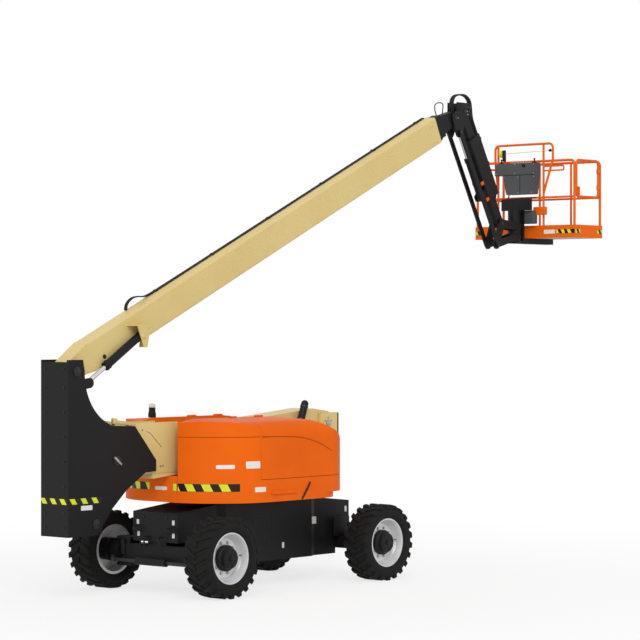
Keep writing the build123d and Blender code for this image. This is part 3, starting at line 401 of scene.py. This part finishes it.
def straight(origin, way, facing):
    """A wall's path along one flat face."""
    origin, way, facing = Vector(origin), Vector(way), Vector(facing)
    return lambda s: (origin + way * s, facing)


def hood_wall(s):
    """The hood's near wall in plan, from its rear face round the corner and forward along its side."""
    corner, corner_x, corner_y, flat_end = 0.900, -0.700, -0.220, 0.108
    round_end = corner * math.pi / 2
    turn = min(max(s / corner, 0), math.pi / 2)
    facing = Vector((-math.cos(turn), -math.sin(turn), 0))
    point = Vector((corner_x, corner_y, 0)) + facing * corner
    if s < flat_end:
        point, facing = Vector((HOOD_REAR_X, corner_y - s, 0)), Vector(REAR)
    elif s > round_end:
        point.x += s - round_end
    return point, facing


def tyres():
    """Tyres with rounded shoulders, ribbed side walls and two staggered rows of slanting, tapered lugs."""
    # Radius and half width, from the bead up the side wall and over the shoulder to the crown.
    half_section = [(0.323, 0.1585), (0.334, 0.1640), (0.346, 0.1790), (0.352, 0.1795), (0.358, 0.1850),
                    (0.392, 0.1900), (0.400, 0.1925), (0.406, 0.1900), (0.428, 0.1880), (0.457, 0.1780),
                    (0.475, 0.1560), (0.485, 0.1180), (0.489, 0.0400)]
    section = half_section + [(radius, -width) for radius, width in reversed(half_section)]
    lug_count, lug_long, lug_wide, lug_tall, lug_edge = 22, 0.205, 0.070, 0.050, 0.009
    lug_start, lug_run, lean = 0.1895, 0.195, math.tan(math.radians(28))
    tread_radius, lug_radius, shoulder_radius, foot_rise, taper = 0.49, 0.508, 0.446, 0.030, 0.006
    for end, side, x, y in WHEELS:
        out = math.copysign(1, y)
        mesh = bmesh.new()
        chain = [mesh.verts.new((radius, width, 0)) for radius, width in section]
        edges = [mesh.edges.new(pair) for pair in zip(chain, chain[1:] + chain[:1])]
        bmesh.ops.spin(mesh, geom=chain + edges, cent=(0, 0, 0), axis=FAR, angle=math.tau, steps=112,
                       use_merge=True)
        carcass = set(mesh.verts)
        for i in range(2 * lug_count):
            hand = 1 if i % 2 else -1
            made = bmesh.ops.create_cube(mesh, size=1)["verts"]
            bmesh.ops.scale(mesh, vec=(lug_long, lug_wide, lug_tall), verts=made)
            rims = list({edge for vertex in made for edge in vertex.link_edges})
            bmesh.ops.bevel(mesh, geom=rims, offset=lug_edge, segments=2, profile=0.5, affect="EDGES",
                            material=-1)
            for cut in (-0.05, 0.0, 0.05):
                fresh = [v for v in mesh.verts if v not in carcass]
                parts = {e for v in fresh for e in v.link_edges} | {f for v in fresh for f in v.link_faces}
                bmesh.ops.bisect_plane(mesh, geom=fresh + list(parts), plane_co=(cut, 0, 0), plane_no=FRONT)
            fresh = [v for v in mesh.verts if v not in carcass]
            # Each straight lug is bent round the tread: inward runs from the shoulder to the crown, high from
            # the lug's foot to its top.
            for vertex in fresh:
                inward = 0.5 - vertex.co.x / lug_long
                high = vertex.co.z / lug_tall + 0.5
                across = lug_start - taper * high - inward * lug_run
                spread = (1.16 - 0.34 * inward) * (1.06 - 0.20 * high)
                turn = (vertex.co.y * spread - inward * lug_run * lean) / tread_radius
                turn += math.tau * i / (2 * lug_count)
                foot = shoulder_radius + foot_rise * min(inward * 4, 1)
                reach = foot + (lug_radius - taper * max(0, 1 - inward * 5) - foot) * high
                vertex.co = (reach * math.cos(turn), hand * across, reach * math.sin(turn))
            carcass.update(fresh)
        place = Matrix.Translation((x, y, AXLE_Z)) @ Matrix.Diagonal((out, out, 1, 1))
        bmesh.ops.transform(mesh, matrix=place, verts=mesh.verts)
        piece = new_piece(f"lugged_tyre_{end}_{side}", mesh, rubber, f"wheel_{end}_{side}")
        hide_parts(f"tyre_{end}_{side}")


def upright_details():
    """The striped band, the blank plates, and the pins and fasteners of the upright."""
    body, side_y, rear_x = "upright", 0.240, -3.400
    band = (1.228, 1.302)
    pin_profile = [(0, 0.022), (0.034, 0.022), (0.040, 0.018), (0.042, 0.012), (0.060, 0.012), (0.062, 0.0)]
    keeper_box = [((-0.075, -0.026, -0.014), (0.075, 0.026, 0.014))]
    for name, side, facing in SIDES:
        y = side * side_y
        pin, heel, foot = ((x, y, z) for x, z in (UPRIGHT_PIN, BOOM_PIN, UPRIGHT_FOOT_PIN))
        wall = straight((0, y, 0), FRONT, facing)
        stripes_on(f"upright_stripes_{name}", wall, (-3.396, -2.836), band, body, pitch=0.183, lean=0.05,
                   first=-3.33, share=0.45)
        film(f"upright_plate_{name}", (-3.09, y, 1.180), facing, 0.19, 0.058, white_film, body)
        heads = [stand_at(point, facing) for point in (pin, heel, foot)]
        turned_piece(f"upright_pin_heads_{name}", pin_profile, heads, dark_steel, body, 30)
        seats = ring(pin, 0.080, (-0.66, 2.48), facing) + ring(foot, 0.09, (1.1, 3.2, 5.3), facing)
        bolts(f"upright_pin_bolts_{name}", seats, 0.010, dark_steel, body)
        keeper = Matrix.Translation(pin) @ Matrix.Rotation(math.radians(38), 4, "Y")
        blocks(f"upright_pin_keeper_{name}", keeper_box, 0.003, zinc, body, keeper)
    wall = straight((rear_x, 0, 0), NEAR, REAR)
    stripes_on("upright_stripes_rear", wall, (-0.236, 0.236), band, body, pitch=0.170, lean=0.05,
               first=-0.205, share=0.48)
    seats = [((rear_x, y, z), REAR) for y in (-0.165, 0.165)
             for z in (0.95, 1.12, 1.45, 1.75, 2.05, 2.35, 2.65, 2.88)]
    bolts("upright_rear_bolts", seats, 0.011, dark_steel, body)


def boom_details():
    """Hoses and clamps along the boom's top, the guard hoop at its nose, the slide pads' covers, and the pins
    and bolts of the heel and the lift bracket."""
    body, stand = "boom_base", beam_stand(BOOM_PIN, BOOM_RISE)
    bends = ((1.36, 0.0), (1.38, 0.05), (1.44, 0.085), (1.54, 0.10), (1.66, 0.06), (1.74, 0.012),
             (2.1, 0.008), (5.0, 0.008), (7.93, 0.008))
    runs = [[boom_point(along, y, BOOM_TOP + lift) for along, lift in bends] for y in (0.064, 0.084, 0.104)]
    hose("boom_hoses", runs, 0.008, black_plastic, body)
    clamps = [((s - 0.02, 0.050, BOOM_TOP), (s + 0.02, 0.116, BOOM_TOP + 0.020))
              for s in (1.95, 3.1, 4.3, 5.5, 6.7, 7.75)]
    blocks("boom_hose_clamps", clamps, 0.004, black, body, stand)
    half_hoop = [(8.20, 0.050, 0.125), (8.215, 0.074, 0.200), (8.27, 0.078, 0.300)]
    hoop = [boom_point(s, -y, up) for s, y, up in half_hoop]
    hoop += [boom_point(s, y, up) for s, y, up in reversed(half_hoop)]
    hose("boom_guard_hoop", [hoop], 0.008, dark_steel, "boom_fly")
    seats = [(boom_point(0.60, side * BOOM_SIDE, -0.085), facing) for _, side, facing in SIDES]
    bolts("boom_heel_bolts", seats, 0.020, dark_steel, body)
    pad_s, pad_ups, cover_out = 7.82, (-0.12, 0.12), 0.004
    pads = [((pad_s - 0.05, side * BOOM_SIDE - cover_out, up - 0.03),
             (pad_s + 0.05, side * BOOM_SIDE + cover_out, up + 0.03)) for side in (-1, 1) for up in pad_ups]
    blocks("boom_slide_pad_covers", pads, 0.003, cream, body, stand)
    seats = [(boom_point(s, side * (BOOM_SIDE + cover_out), up), facing) for s in (pad_s - 0.03, pad_s + 0.03)
             for _, side, facing in SIDES for up in pad_ups]
    bolts("boom_slide_pad_bolts", seats, 0.008, cream, body)
    lift_x, lift_y, lift_z = -2.125, 0.256, 3.270
    pin_profile = [(0, 0.014), (0.026, 0.014), (0.032, 0.010), (0.034, 0.0)]
    for name, side, facing in SIDES:
        y = side * lift_y
        pin = stand_at((lift_x, y, lift_z), facing)
        turned_piece(f"lift_pin_head_{name}", pin_profile, [pin], cream, body, 24)
        seats = [((lift_x + dx, y, lift_z + dz), facing) for dx, dz in ((-0.06, 0.10), (0.08, 0.10))]
        bolts(f"lift_bracket_bolts_{name}", seats, 0.011, cream, body)


def hood_details():
    """The hoods' stripes, blank plates, rubbing strips and straps, dark orange lines of painted shade along
    their creases, the beacon with a white cap as a painted highlight on its top, and the bands round the
    exhaust stack."""
    body = "turntable"
    band, skirt_end, panel_span = (1.312, 1.410), 0.102, (0.112, 0.935)
    plates = (((0.63, 0.87), (1.600, 1.650)), ((1.015, 1.22), (1.600, 1.690)), ((1.14, 1.31), (1.300, 1.362)))
    door_y, door_crease = 1.120, ((-0.868, 1.996), (-0.5, 1.990), (-0.1, 1.967), (0.20, 1.890), (0.36, 1.826),
                                  (0.455, 1.775))
    strap_bends = ((0.035, 1.123, 1.385), (0.000, 1.130, 1.33), (-0.060, 1.130, 1.26), (-0.120, 1.123, 1.175))
    for name, side, _ in SIDES:
        flip = -side
        start, first = (0.035, 0.035) if flip > 0 else (-0.065, -0.150)
        for part, span in (("skirt", (start, skirt_end)), ("panel", panel_span)):
            stripes_on(f"hood_stripes_{part}_{name}", hood_wall, span, band, body, pitch=0.225,
                       lean=0.05 * flip, flip=flip, first=first)
        for i, (span, heights) in enumerate(plates):
            film_on(f"hood_plate_{name}_{i}", hood_wall, span, heights, white_film, body,
                    corner=0.012, flip=flip)
        film_on(f"hood_rubbing_strip_{name}", hood_wall, (1.40, 1.895), (1.262, 1.300), orange, body,
                thick=0.020, corner=0.016, flip=flip)
        # Painted shade: a dark orange strip along the hood's rear crease stands in for the crease's shadow.
        film_on(f"hood_rear_crease_shade_{name}", hood_wall, (0.120, 1.222), (1.992, 1.999), crease_shade, body,
                thick=0.002, flip=flip)
        # Painted shade: a dark orange line along the door's crease stands in for the crease's shadow.
        crease_shade_line = [(x, side * door_y, z) for x, z in door_crease]
        hose(f"hood_door_seal_{name}", [crease_shade_line], 0.0045, crease_shade, f"hood_door_{name}")
        strap = [(x, side * y, z) for x, y, z in strap_bends]
        hose(f"deck_strap_{name}", [strap], 0.012, black_plastic, body)
    film("skirt_plate", (HOOD_REAR_X, -0.043, 1.340), REAR, 0.21, 0.045, white_film, body)
    beacon_foot = Matrix.Translation((-1.110, 0.600, 2.2045))
    # Painted highlight: the white cap stands in for the light on the top of the dark beacon.
    cap_profile = [(0, 0.182), (0.024, 0.181), (0.036, 0.176), (0.043, 0.164), (0.0445, 0.132),
                   (0.036, 0.131)]
    turned_piece("beacon_highlight_cap", cap_profile, [beacon_foot], white_film, body, 36)
    lamp_profile = [(0, 0.134), (0.042, 0.134), (0.044, 0.126), (0.044, 0.104), (0.041, 0.100),
                    (0.044, 0.096), (0.044, 0.070), (0.051, 0.062), (0.052, 0.020), (0.050, 0.0), (0, 0.0)]
    lamp = turned_piece("ribbed_beacon", lamp_profile, [beacon_foot], black_plastic, body, 36)
    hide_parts("beacon")
    stack_foot, stack_way = Vector((0.690, -0.258, 1.740)), Vector((0.225, 0, 0.610)).normalized()
    rings = [stand_at(stack_foot + stack_way * s, stack_way) for s in (0.16, 0.42, 0.60)]
    band_profile = [(0.050, 0.0), (0.055, 0.002), (0.055, 0.022), (0.050, 0.024)]
    turned_piece("stack_bands", band_profile, rings, dark_steel, body, 30)


def tower_details():
    """The pin heads of the tower's pivot, the head plates with their bolts and a black line of painted shade
    along each fold, and the guide bars on the sliding section."""
    pin_x, pin_z, pin_y = *TOWER_PIN, 0.255
    pin_profile = [(0, 0.020), (0.034, 0.020), (0.042, 0.014), (0.045, 0.0)]
    plate_y = 0.206
    fold_bends = ((-2.02, 2.075), (-1.965, 2.060), (-1.90, 2.000), (-1.758, 1.871))
    plate_bolts = ((-2.095, 2.096), (-1.776, 1.633), (-1.735, 1.633))
    guide_x, guide_y, guide_z, guide_slope = -2.40, 0.180, 2.192, 0.14
    guide = [((-0.20, -0.016, -0.022), (0.20, 0.016, 0.022)),
             ((-0.20, -0.020, -0.030), (-0.13, 0.020, 0.040))]
    for name, side, facing in SIDES:
        pin = (pin_x, side * pin_y, pin_z)
        turned_piece(f"tower_pin_head_{name}", pin_profile, [stand_at(pin, facing)], zinc, "turntable",
                     28)
        seats = ring(pin, 0.072, (0.5, 1.6, 2.7, 4.7), facing)
        bolts(f"tower_pin_bolts_{name}", seats, 0.010, zinc, "turntable")
        plate = [side_box(side, (-2.210, 0.198, 1.545), (-1.462, plate_y, 2.185))]
        blocks(f"tower_head_plate_{name}", plate, 0.0025, cream, "tower_base")
        # Painted shade: a thin black line along the plate's fold stands in for the shade in the bend.
        fold = [(x, side * plate_y, z) for x, z in fold_bends]
        hose(f"tower_fold_line_{name}", [fold], 0.003, black_plastic, "tower_base")
        seats = [((x, side * plate_y, z), facing) for x, z in plate_bolts]
        bolts(f"tower_plate_bolts_{name}", seats, 0.010, zinc, "tower_base")
        tilt = Matrix.Rotation(math.radians(8), 4, "Y")
        tilt = Matrix.Translation((guide_x, side * guide_y, guide_z)) @ tilt
        blocks(f"tower_guide_bar_{name}", guide, 0.004, cream, "tower_fly", tilt)
        posts = [side_box(side, (x - 0.02, 0.130, 1.880),
                          (x + 0.02, 0.192, 2.190 - guide_slope * (x - guide_x))) for x in (-2.54, -2.30)]
        blocks(f"tower_guide_posts_{name}", posts, 0.004, cream, "tower_fly")


def chassis_details():
    """Blank reflective plates, bolted covers, the side webs over the drive axle and the steering hoses."""
    body, side_y, rear_x = "chassis", 0.450, -1.660
    cover_x, cover_z, cover_thick = -0.30, 0.720, 0.008
    for y, z in ((0.308, 0.902), (0.297, 0.752), (-0.320, 0.915), (-0.320, 0.752)):
        film(f"chassis_rear_plate_{'far' if y > 0 else 'near'}_{int(z * 1000)}", (rear_x, y, z), REAR,
             0.042, 0.060, white_film, body, corner=0.006)
    side_plates = ((0.882, 0.810, 0.085, 0.095), (0.264, 0.519, 0.040, 0.075))
    for name, side, facing in SIDES:
        y = side * side_y
        for i, (x, z, wide, tall) in enumerate(side_plates):
            film(f"chassis_plate_{name}_{i}", (x, y, z), facing, wide, tall, white_film, body,
                 corner=0.008)
        film(f"chassis_end_plate_{name}", (1.593, side * 0.395, 0.921), facing, 0.045, 0.075, white_film,
             body, corner=0.006)
        film(f"chassis_cover_{name}", (cover_x, y, cover_z), facing, 0.62, 0.34, black, body,
             corner=0.03, thick=cover_thick)
        seats = [((cover_x + dx, side * (side_y + cover_thick), cover_z + dz), facing)
                 for dx in (-0.27, 0, 0.27) for dz in (-0.135, 0.135)]
        bolts(f"chassis_cover_bolts_{name}", seats, 0.011, dark_steel, body)
        web = [side_box(side, (1.290, 0.436, 0.570), (1.610, 0.449, 0.830))]
        blocks(f"chassis_side_web_{name}", web, 0.003, black, body)
    # Each hose bows rearwards and spreads away from the middle as it drops.
    hose_bends = ((-1.655, 1, 0.720), (-1.70, 1, 0.720), (-1.735, 1.2, 0.690), (-1.715, 1.5, 0.630),
                  (-1.660, 1.6, 0.605))
    runs = [[(x, y * spread, z) for x, spread, z in hose_bends] for y in (-0.10, 0.10, 0.15)]
    hose("steering_hoses", runs, 0.011, black_plastic, body)
    seats = [((rear_x, y, z), REAR) for y in (-0.20, 0.20) for z in (0.70, 0.97)]
    bolts("chassis_rear_bolts", seats, 0.014, dark_steel, body)


def jib_details():
    """The pins of the knuckle, the jib and the link, the knuckle's hose guards, the hoses that arch over it
    and run down the jib, and the tags on the jib's sides."""
    jib_y, link_y, hose_up, hose_ys, hose_radius = 0.091, 0.121, 0.172, (-0.030, -0.002, 0.026), 0.011
    link_pin, jib_tip_pin, link_tip_pin = (4.493, 6.175), (5.5128, 4.8926), (5.3858, 4.5776)
    profile = [(0, 0.010), (0.020, 0.010), (0.026, 0.007), (0.028, 0.0)]
    singles = (("head_pin", jib_tip_pin, jib_y, "jib_head"),
               ("link_pin_top", link_pin, link_y, "jib_knuckle"),
               ("link_pin_tip", link_tip_pin, link_y, "jib_head"))
    for name, side, facing in SIDES:
        heads = [stand_at((x, side * jib_y, z), facing) for x, z in (KNUCKLE_PIN, JIB_PIN)]
        turned_piece(f"knuckle_pin_heads_{name}", profile, heads, dark_steel, "jib_knuckle", 24)
        seats = [((x + 0.052, side * jib_y, z), facing) for x, z in (KNUCKLE_PIN, JIB_PIN)]
        bolts(f"knuckle_pin_bolts_{name}", seats, 0.008, zinc, "jib_knuckle")
        for pin, (x, z), y, body in singles:
            stand = stand_at((x, side * y, z), facing)
            turned_piece(f"{pin}_{name}", profile, [stand], dark_steel, body, 24)
    guards = [side_box(side, (4.430, 0.076, 6.470), (4.690, 0.090, 6.612)) for side in (-1, 1)]
    blocks("knuckle_hose_guards", guards, 0.006, black, "jib_knuckle")
    arch_bends = ((4.430, 6.440), (4.400, 6.560), (4.440, 6.690), (4.560, 6.735), (4.720, 6.735),
                  (4.830, 6.660), (4.850, 6.530))
    arch = [[(x, y, z) for x, z in arch_bends] + [jib_point(s, y, hose_up) for s in (0.20, 0.36, 0.46)]
            for y in hose_ys]
    over = hose("knuckle_hose_arch", arch, hose_radius, black_plastic, None)
    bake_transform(over)
    run_bends = ((0.45, hose_up), (0.8, hose_up), (1.30, hose_up), (1.40, 0.16), (1.47, 0.10), (1.50, 0.06))
    runs = [[jib_point(s, y, up) for s, up in run_bends] for y in hose_ys]
    hose("jib_hoses", runs, hose_radius, black_plastic, "jib_boom")
    stand = beam_stand(JIB_PIN, JIB_RISE)
    clamps = [((s - 0.02, -0.066, 0.158), (s + 0.02, 0.066, 0.190)) for s in (0.52, 0.92, 1.32)]
    blocks("jib_hose_clamps", clamps, 0.004, dark_steel, "jib_boom", stand)
    tags = [side_box(side, (s, 0.070, -0.160), (s + 0.05, 0.088, -0.100)) for s in (1.08, 1.34)
            for side in (-1, 1)]
    blocks("jib_tags", tags, 0.003, orange, "jib_boom", stand)


def kick_plate_details():
    """Stripes at the corners of the platform's kick plates, and one blank plate."""
    side_y, rear_x, front_x = 0.921, 6.184, 6.886
    rear = straight((rear_x, 0, 0), NEAR, REAR)
    near = straight((0, -side_y, 0), FRONT, NEAR)
    far = straight((0, side_y, 0), REAR, FAR)
    front = straight((front_x, 0, 0), FAR, FRONT)
    bands = (("rear_near", rear, (0.58, 0.915)), ("rear_far", rear, (-0.915, -0.78)),
             ("near_rear", near, (6.19, 6.32)), ("near_front", near, (6.75, 6.88)),
             ("far_rear", far, (-6.32, -6.19)), ("far_front", far, (-6.88, -6.75)),
             ("front_near", front, (-0.915, -0.75)), ("front_far", front, (0.75, 0.915)))
    for name, path, span in bands:
        stripes_on(f"platform_stripes_{name}", path, span, (4.748, 4.812), "platform", pitch=0.112, lean=0.03)
    film_on("platform_plate", rear, (0.36, 0.56), (4.748, 4.808), white_film, "platform",
            corner=0.008)


def console_details():
    """The console's joysticks, stop button, toggles and knob, its seams and screws, and two boxes below it."""
    body, top, middle_x, face_x = "platform", 5.805, 6.115, 6.048
    stick = [(0, 0.074), (0.010, 0.073), (0.014, 0.066), (0.014, 0.050), (0.009, 0.042), (0.008, 0.034),
             (0.018, 0.030), (0.018, 0.026), (0.026, 0.021), (0.026, 0.017), (0.034, 0.010), (0.036, 0.0)]
    boots = [Matrix.Translation((middle_x, y, top)) for y in (-0.235, 0.375)]
    turned_piece("console_joysticks", stick, boots, black_plastic, body, 24)
    button = [(0, 0.030), (0.018, 0.029), (0.024, 0.024), (0.024, 0.018), (0.014, 0.015), (0.014, 0.0)]
    seat = Matrix.Translation((middle_x, 0.265, top))
    turned_piece("console_stop_button", button, [seat], red_plastic, body, 28)
    toggle = [(0, 0.034), (0.0045, 0.033), (0.003, 0.012), (0.009, 0.010), (0.010, 0.0)]
    places = [Matrix.Translation((x, -0.155 + 0.05 * i, top)) for i in range(7) for x in (6.09, 6.14)]
    turned_piece("console_toggles", toggle, places, zinc, body, 14)
    knob = [(0, 0.020), (0.020, 0.020), (0.026, 0.014), (0.028, 0.0)]
    seat = stand_at((face_x, -0.085, 5.770), REAR)
    turned_piece("console_knob", knob, [seat], black_plastic, body, 24)
    seams = [((6.044, -0.285, 5.626), (6.050, 0.445, 5.634)), ((6.044, -0.02, 5.36), (6.049, -0.012, 5.62))]
    blocks("console_seams", seams, 0.001, black_plastic, body)
    screws = [(y, z) for y in (-0.265, 0.08, 0.425) for z in (5.655, 5.785)]
    screws += [(y, 5.600) for y in (-0.27, 0.02, 0.285)] + [(y, 5.365) for y in (-0.225, 0.02, 0.225)]
    bolts("console_screws", [((face_x, y, z), REAR) for y, z in screws], 0.006, zinc, body)
    junction = [((6.0905, -0.246, 4.900), (6.182, -0.006, 5.100))]
    blocks("junction_box", junction, 0.016, grey_plastic, body)
    blocks("post_box", [((6.140, -0.415, 5.030), (6.194, -0.190, 5.150))], 0.012, orange, body)


def rail_details():
    """The rails' hand loop, the hoop's wire with its reel and end, the console's lead and the gate's latch."""
    body, rail_x = "platform", 6.209
    wire_x = rail_x - 0.022
    loop = [(rail_x, y, z) for y, z in ((-0.340, 5.752), (-0.640, 5.752), (-0.700, 5.752), (-0.705, 5.720),
                                        (-0.700, 5.688), (-0.640, 5.688), (-0.340, 5.688))]
    hose("hand_loop", [loop], 0.0125, orange, body)
    wire = [(wire_x, 0.405, 5.965), (wire_x, 0.0, 5.972), (wire_x, -0.478, 5.985)]
    hose("hoop_wire", [wire], 0.004, cream, body)
    reel = [(0, 0.0), (0.052, 0.0), (0.055, 0.006), (0.055, 0.040), (0.050, 0.046), (0, 0.046)]
    seat = stand_at((wire_x, 0.395, 5.965), FAR)
    turned_piece("wire_reel", reel, [seat], yellow_film, body, 30)
    bracket = [((rail_x - 0.050, 0.360, 5.850), (rail_x + 0.004, 0.396, 6.020))]
    blocks("wire_reel_bracket", bracket, 0.006, black, body)
    stop = [(0, -0.022), (0.014, -0.018), (0.022, -0.006), (0.022, 0.008), (0.014, 0.020), (0, 0.024)]
    seat = stand_at((wire_x, -0.470, 5.985), NEAR)
    turned_piece("wire_end", stop, [seat], black_plastic, body, 20)
    lead = [(6.118, 0.235, 5.350), (6.112, 0.240, 5.300), (6.108, 0.260, 5.240), (6.100, 0.230, 5.190),
            (6.070, 0.200, 5.170)]
    hose("console_lead", [lead], 0.010, grey_plastic, body)
    latch = [((6.300, -0.914, 5.291), (6.328, -0.878, 5.440)),
             ((6.250, -0.906, 5.352), (6.314, -0.886, 5.376))]
    blocks("gate_latch", latch, 0.006, orange, "platform_gate")


def background_rays(tree):
    """The rays that see the plain background: the camera's own, and those that metal and clear pieces send
    on."""
    rays = add(tree, "ShaderNodeLightPath").outputs
    mirrored = add(tree, "ShaderNodeMath", {"operation": "MAXIMUM"}, i0=rays["Is Glossy Ray"],
                   i1=rays["Is Transmission Ray"])
    seen = add(tree, "ShaderNodeMath", {"operation": "MAXIMUM"}, i0=rays["Is Camera Ray"],
               i1=mirrored.outputs[0])
    return seen.outputs[0]


def studio_floor():
    """A pale matt floor that keeps the shadow near the machine and fades to white further out."""
    white, shadow_end, white_start, near_share = (1, 1, 1, 1), 4.0, 11.0, 0.75
    mesh = bmesh.new()
    bmesh.ops.create_grid(mesh, x_segments=1, y_segments=1, size=400)
    data = bpy.data.meshes.new("studio_floor")
    mesh.to_mesh(data)
    mesh.free()
    floor = bpy.data.objects.new("studio_floor", data)
    bpy.context.scene.collection.objects.link(floor)
    material = bpy.data.materials.new("studio_floor_paint")
    material.use_nodes = True
    tree = material.node_tree
    shader = tree.nodes["Principled BSDF"]
    shader.inputs["Base Color"].default_value = (0.93, 0.93, 0.93, 1)
    shader.inputs["Roughness"].default_value = 0.9
    place = add(tree, "ShaderNodeTexCoord").outputs["Object"]
    reach = add(tree, "ShaderNodeVectorMath", {"operation": "LENGTH"}, i0=place)
    fade = add(tree, "ShaderNodeMapRange", Value=reach.outputs["Value"], From_Min=shadow_end,
               From_Max=white_start, To_Min=near_share)
    glow = add(tree, "ShaderNodeEmission", Color=white, Strength=1.0)
    share = add(tree, "ShaderNodeMath", {"operation": "MULTIPLY"}, i0=fade.outputs["Result"],
                i1=background_rays(tree))
    seen = add(tree, "ShaderNodeMixShader", i0=share.outputs[0], i1=shader.outputs[0], i2=glow.outputs[0])
    tree.links.new(seen.outputs[0], tree.nodes["Material Output"].inputs["Surface"])
    data.materials.append(material)


def studio_light():
    """A white world, at half strength as light, with a soft key from the near rear and a weak fill."""
    world = bpy.data.worlds.new("studio_world")
    bpy.context.scene.world = world
    world.use_nodes = True
    tree = world.node_tree
    level = add(tree, "ShaderNodeMapRange", Value=background_rays(tree), To_Min=0.5, To_Max=1.0)
    ground = tree.nodes["Background"]
    ground.inputs["Color"].default_value = (1, 1, 1, 1)
    tree.links.new(level.outputs["Result"], ground.inputs["Strength"])
    lamps = (("key", (0.62, 0.66, -0.62), 1.45, 30), ("fill", (0.9, -0.1, -0.45), 0.4, 60))
    for name, aim, power, spread in lamps:
        lamp = bpy.data.lights.new(name, "SUN")
        lamp.energy = power
        lamp.angle = math.radians(spread)
        holder = bpy.data.objects.new(name, lamp)
        holder.rotation_euler = Vector(aim).to_track_quat("-Z", "Y").to_euler()
        bpy.context.scene.collection.objects.link(holder)


def studio_camera():
    """The camera, fitted to the four wheels as the photograph shows them."""
    lens = bpy.data.cameras.new("photo_camera")
    lens.sensor_width = 36.0
    lens.lens = 145.4
    lens.clip_end = 1000
    camera = bpy.data.objects.new("photo_camera", lens)
    camera.location = (-25.005, -23.038, 3.479)
    camera.rotation_euler = Vector((0.7550, 0.6557, -0.0003)).to_track_quat("-Z", "Y").to_euler()
    bpy.context.scene.collection.objects.link(camera)
    bpy.context.scene.camera = camera
    bpy.context.scene.view_settings.view_transform = "Standard"


tyres()
wheel_details()
upright_details()
boom_details()
hood_details()
tower_details()
chassis_details()
jib_details()
kick_plate_details()
console_details()
rail_details()
studio_floor()
studio_light()
studio_camera()
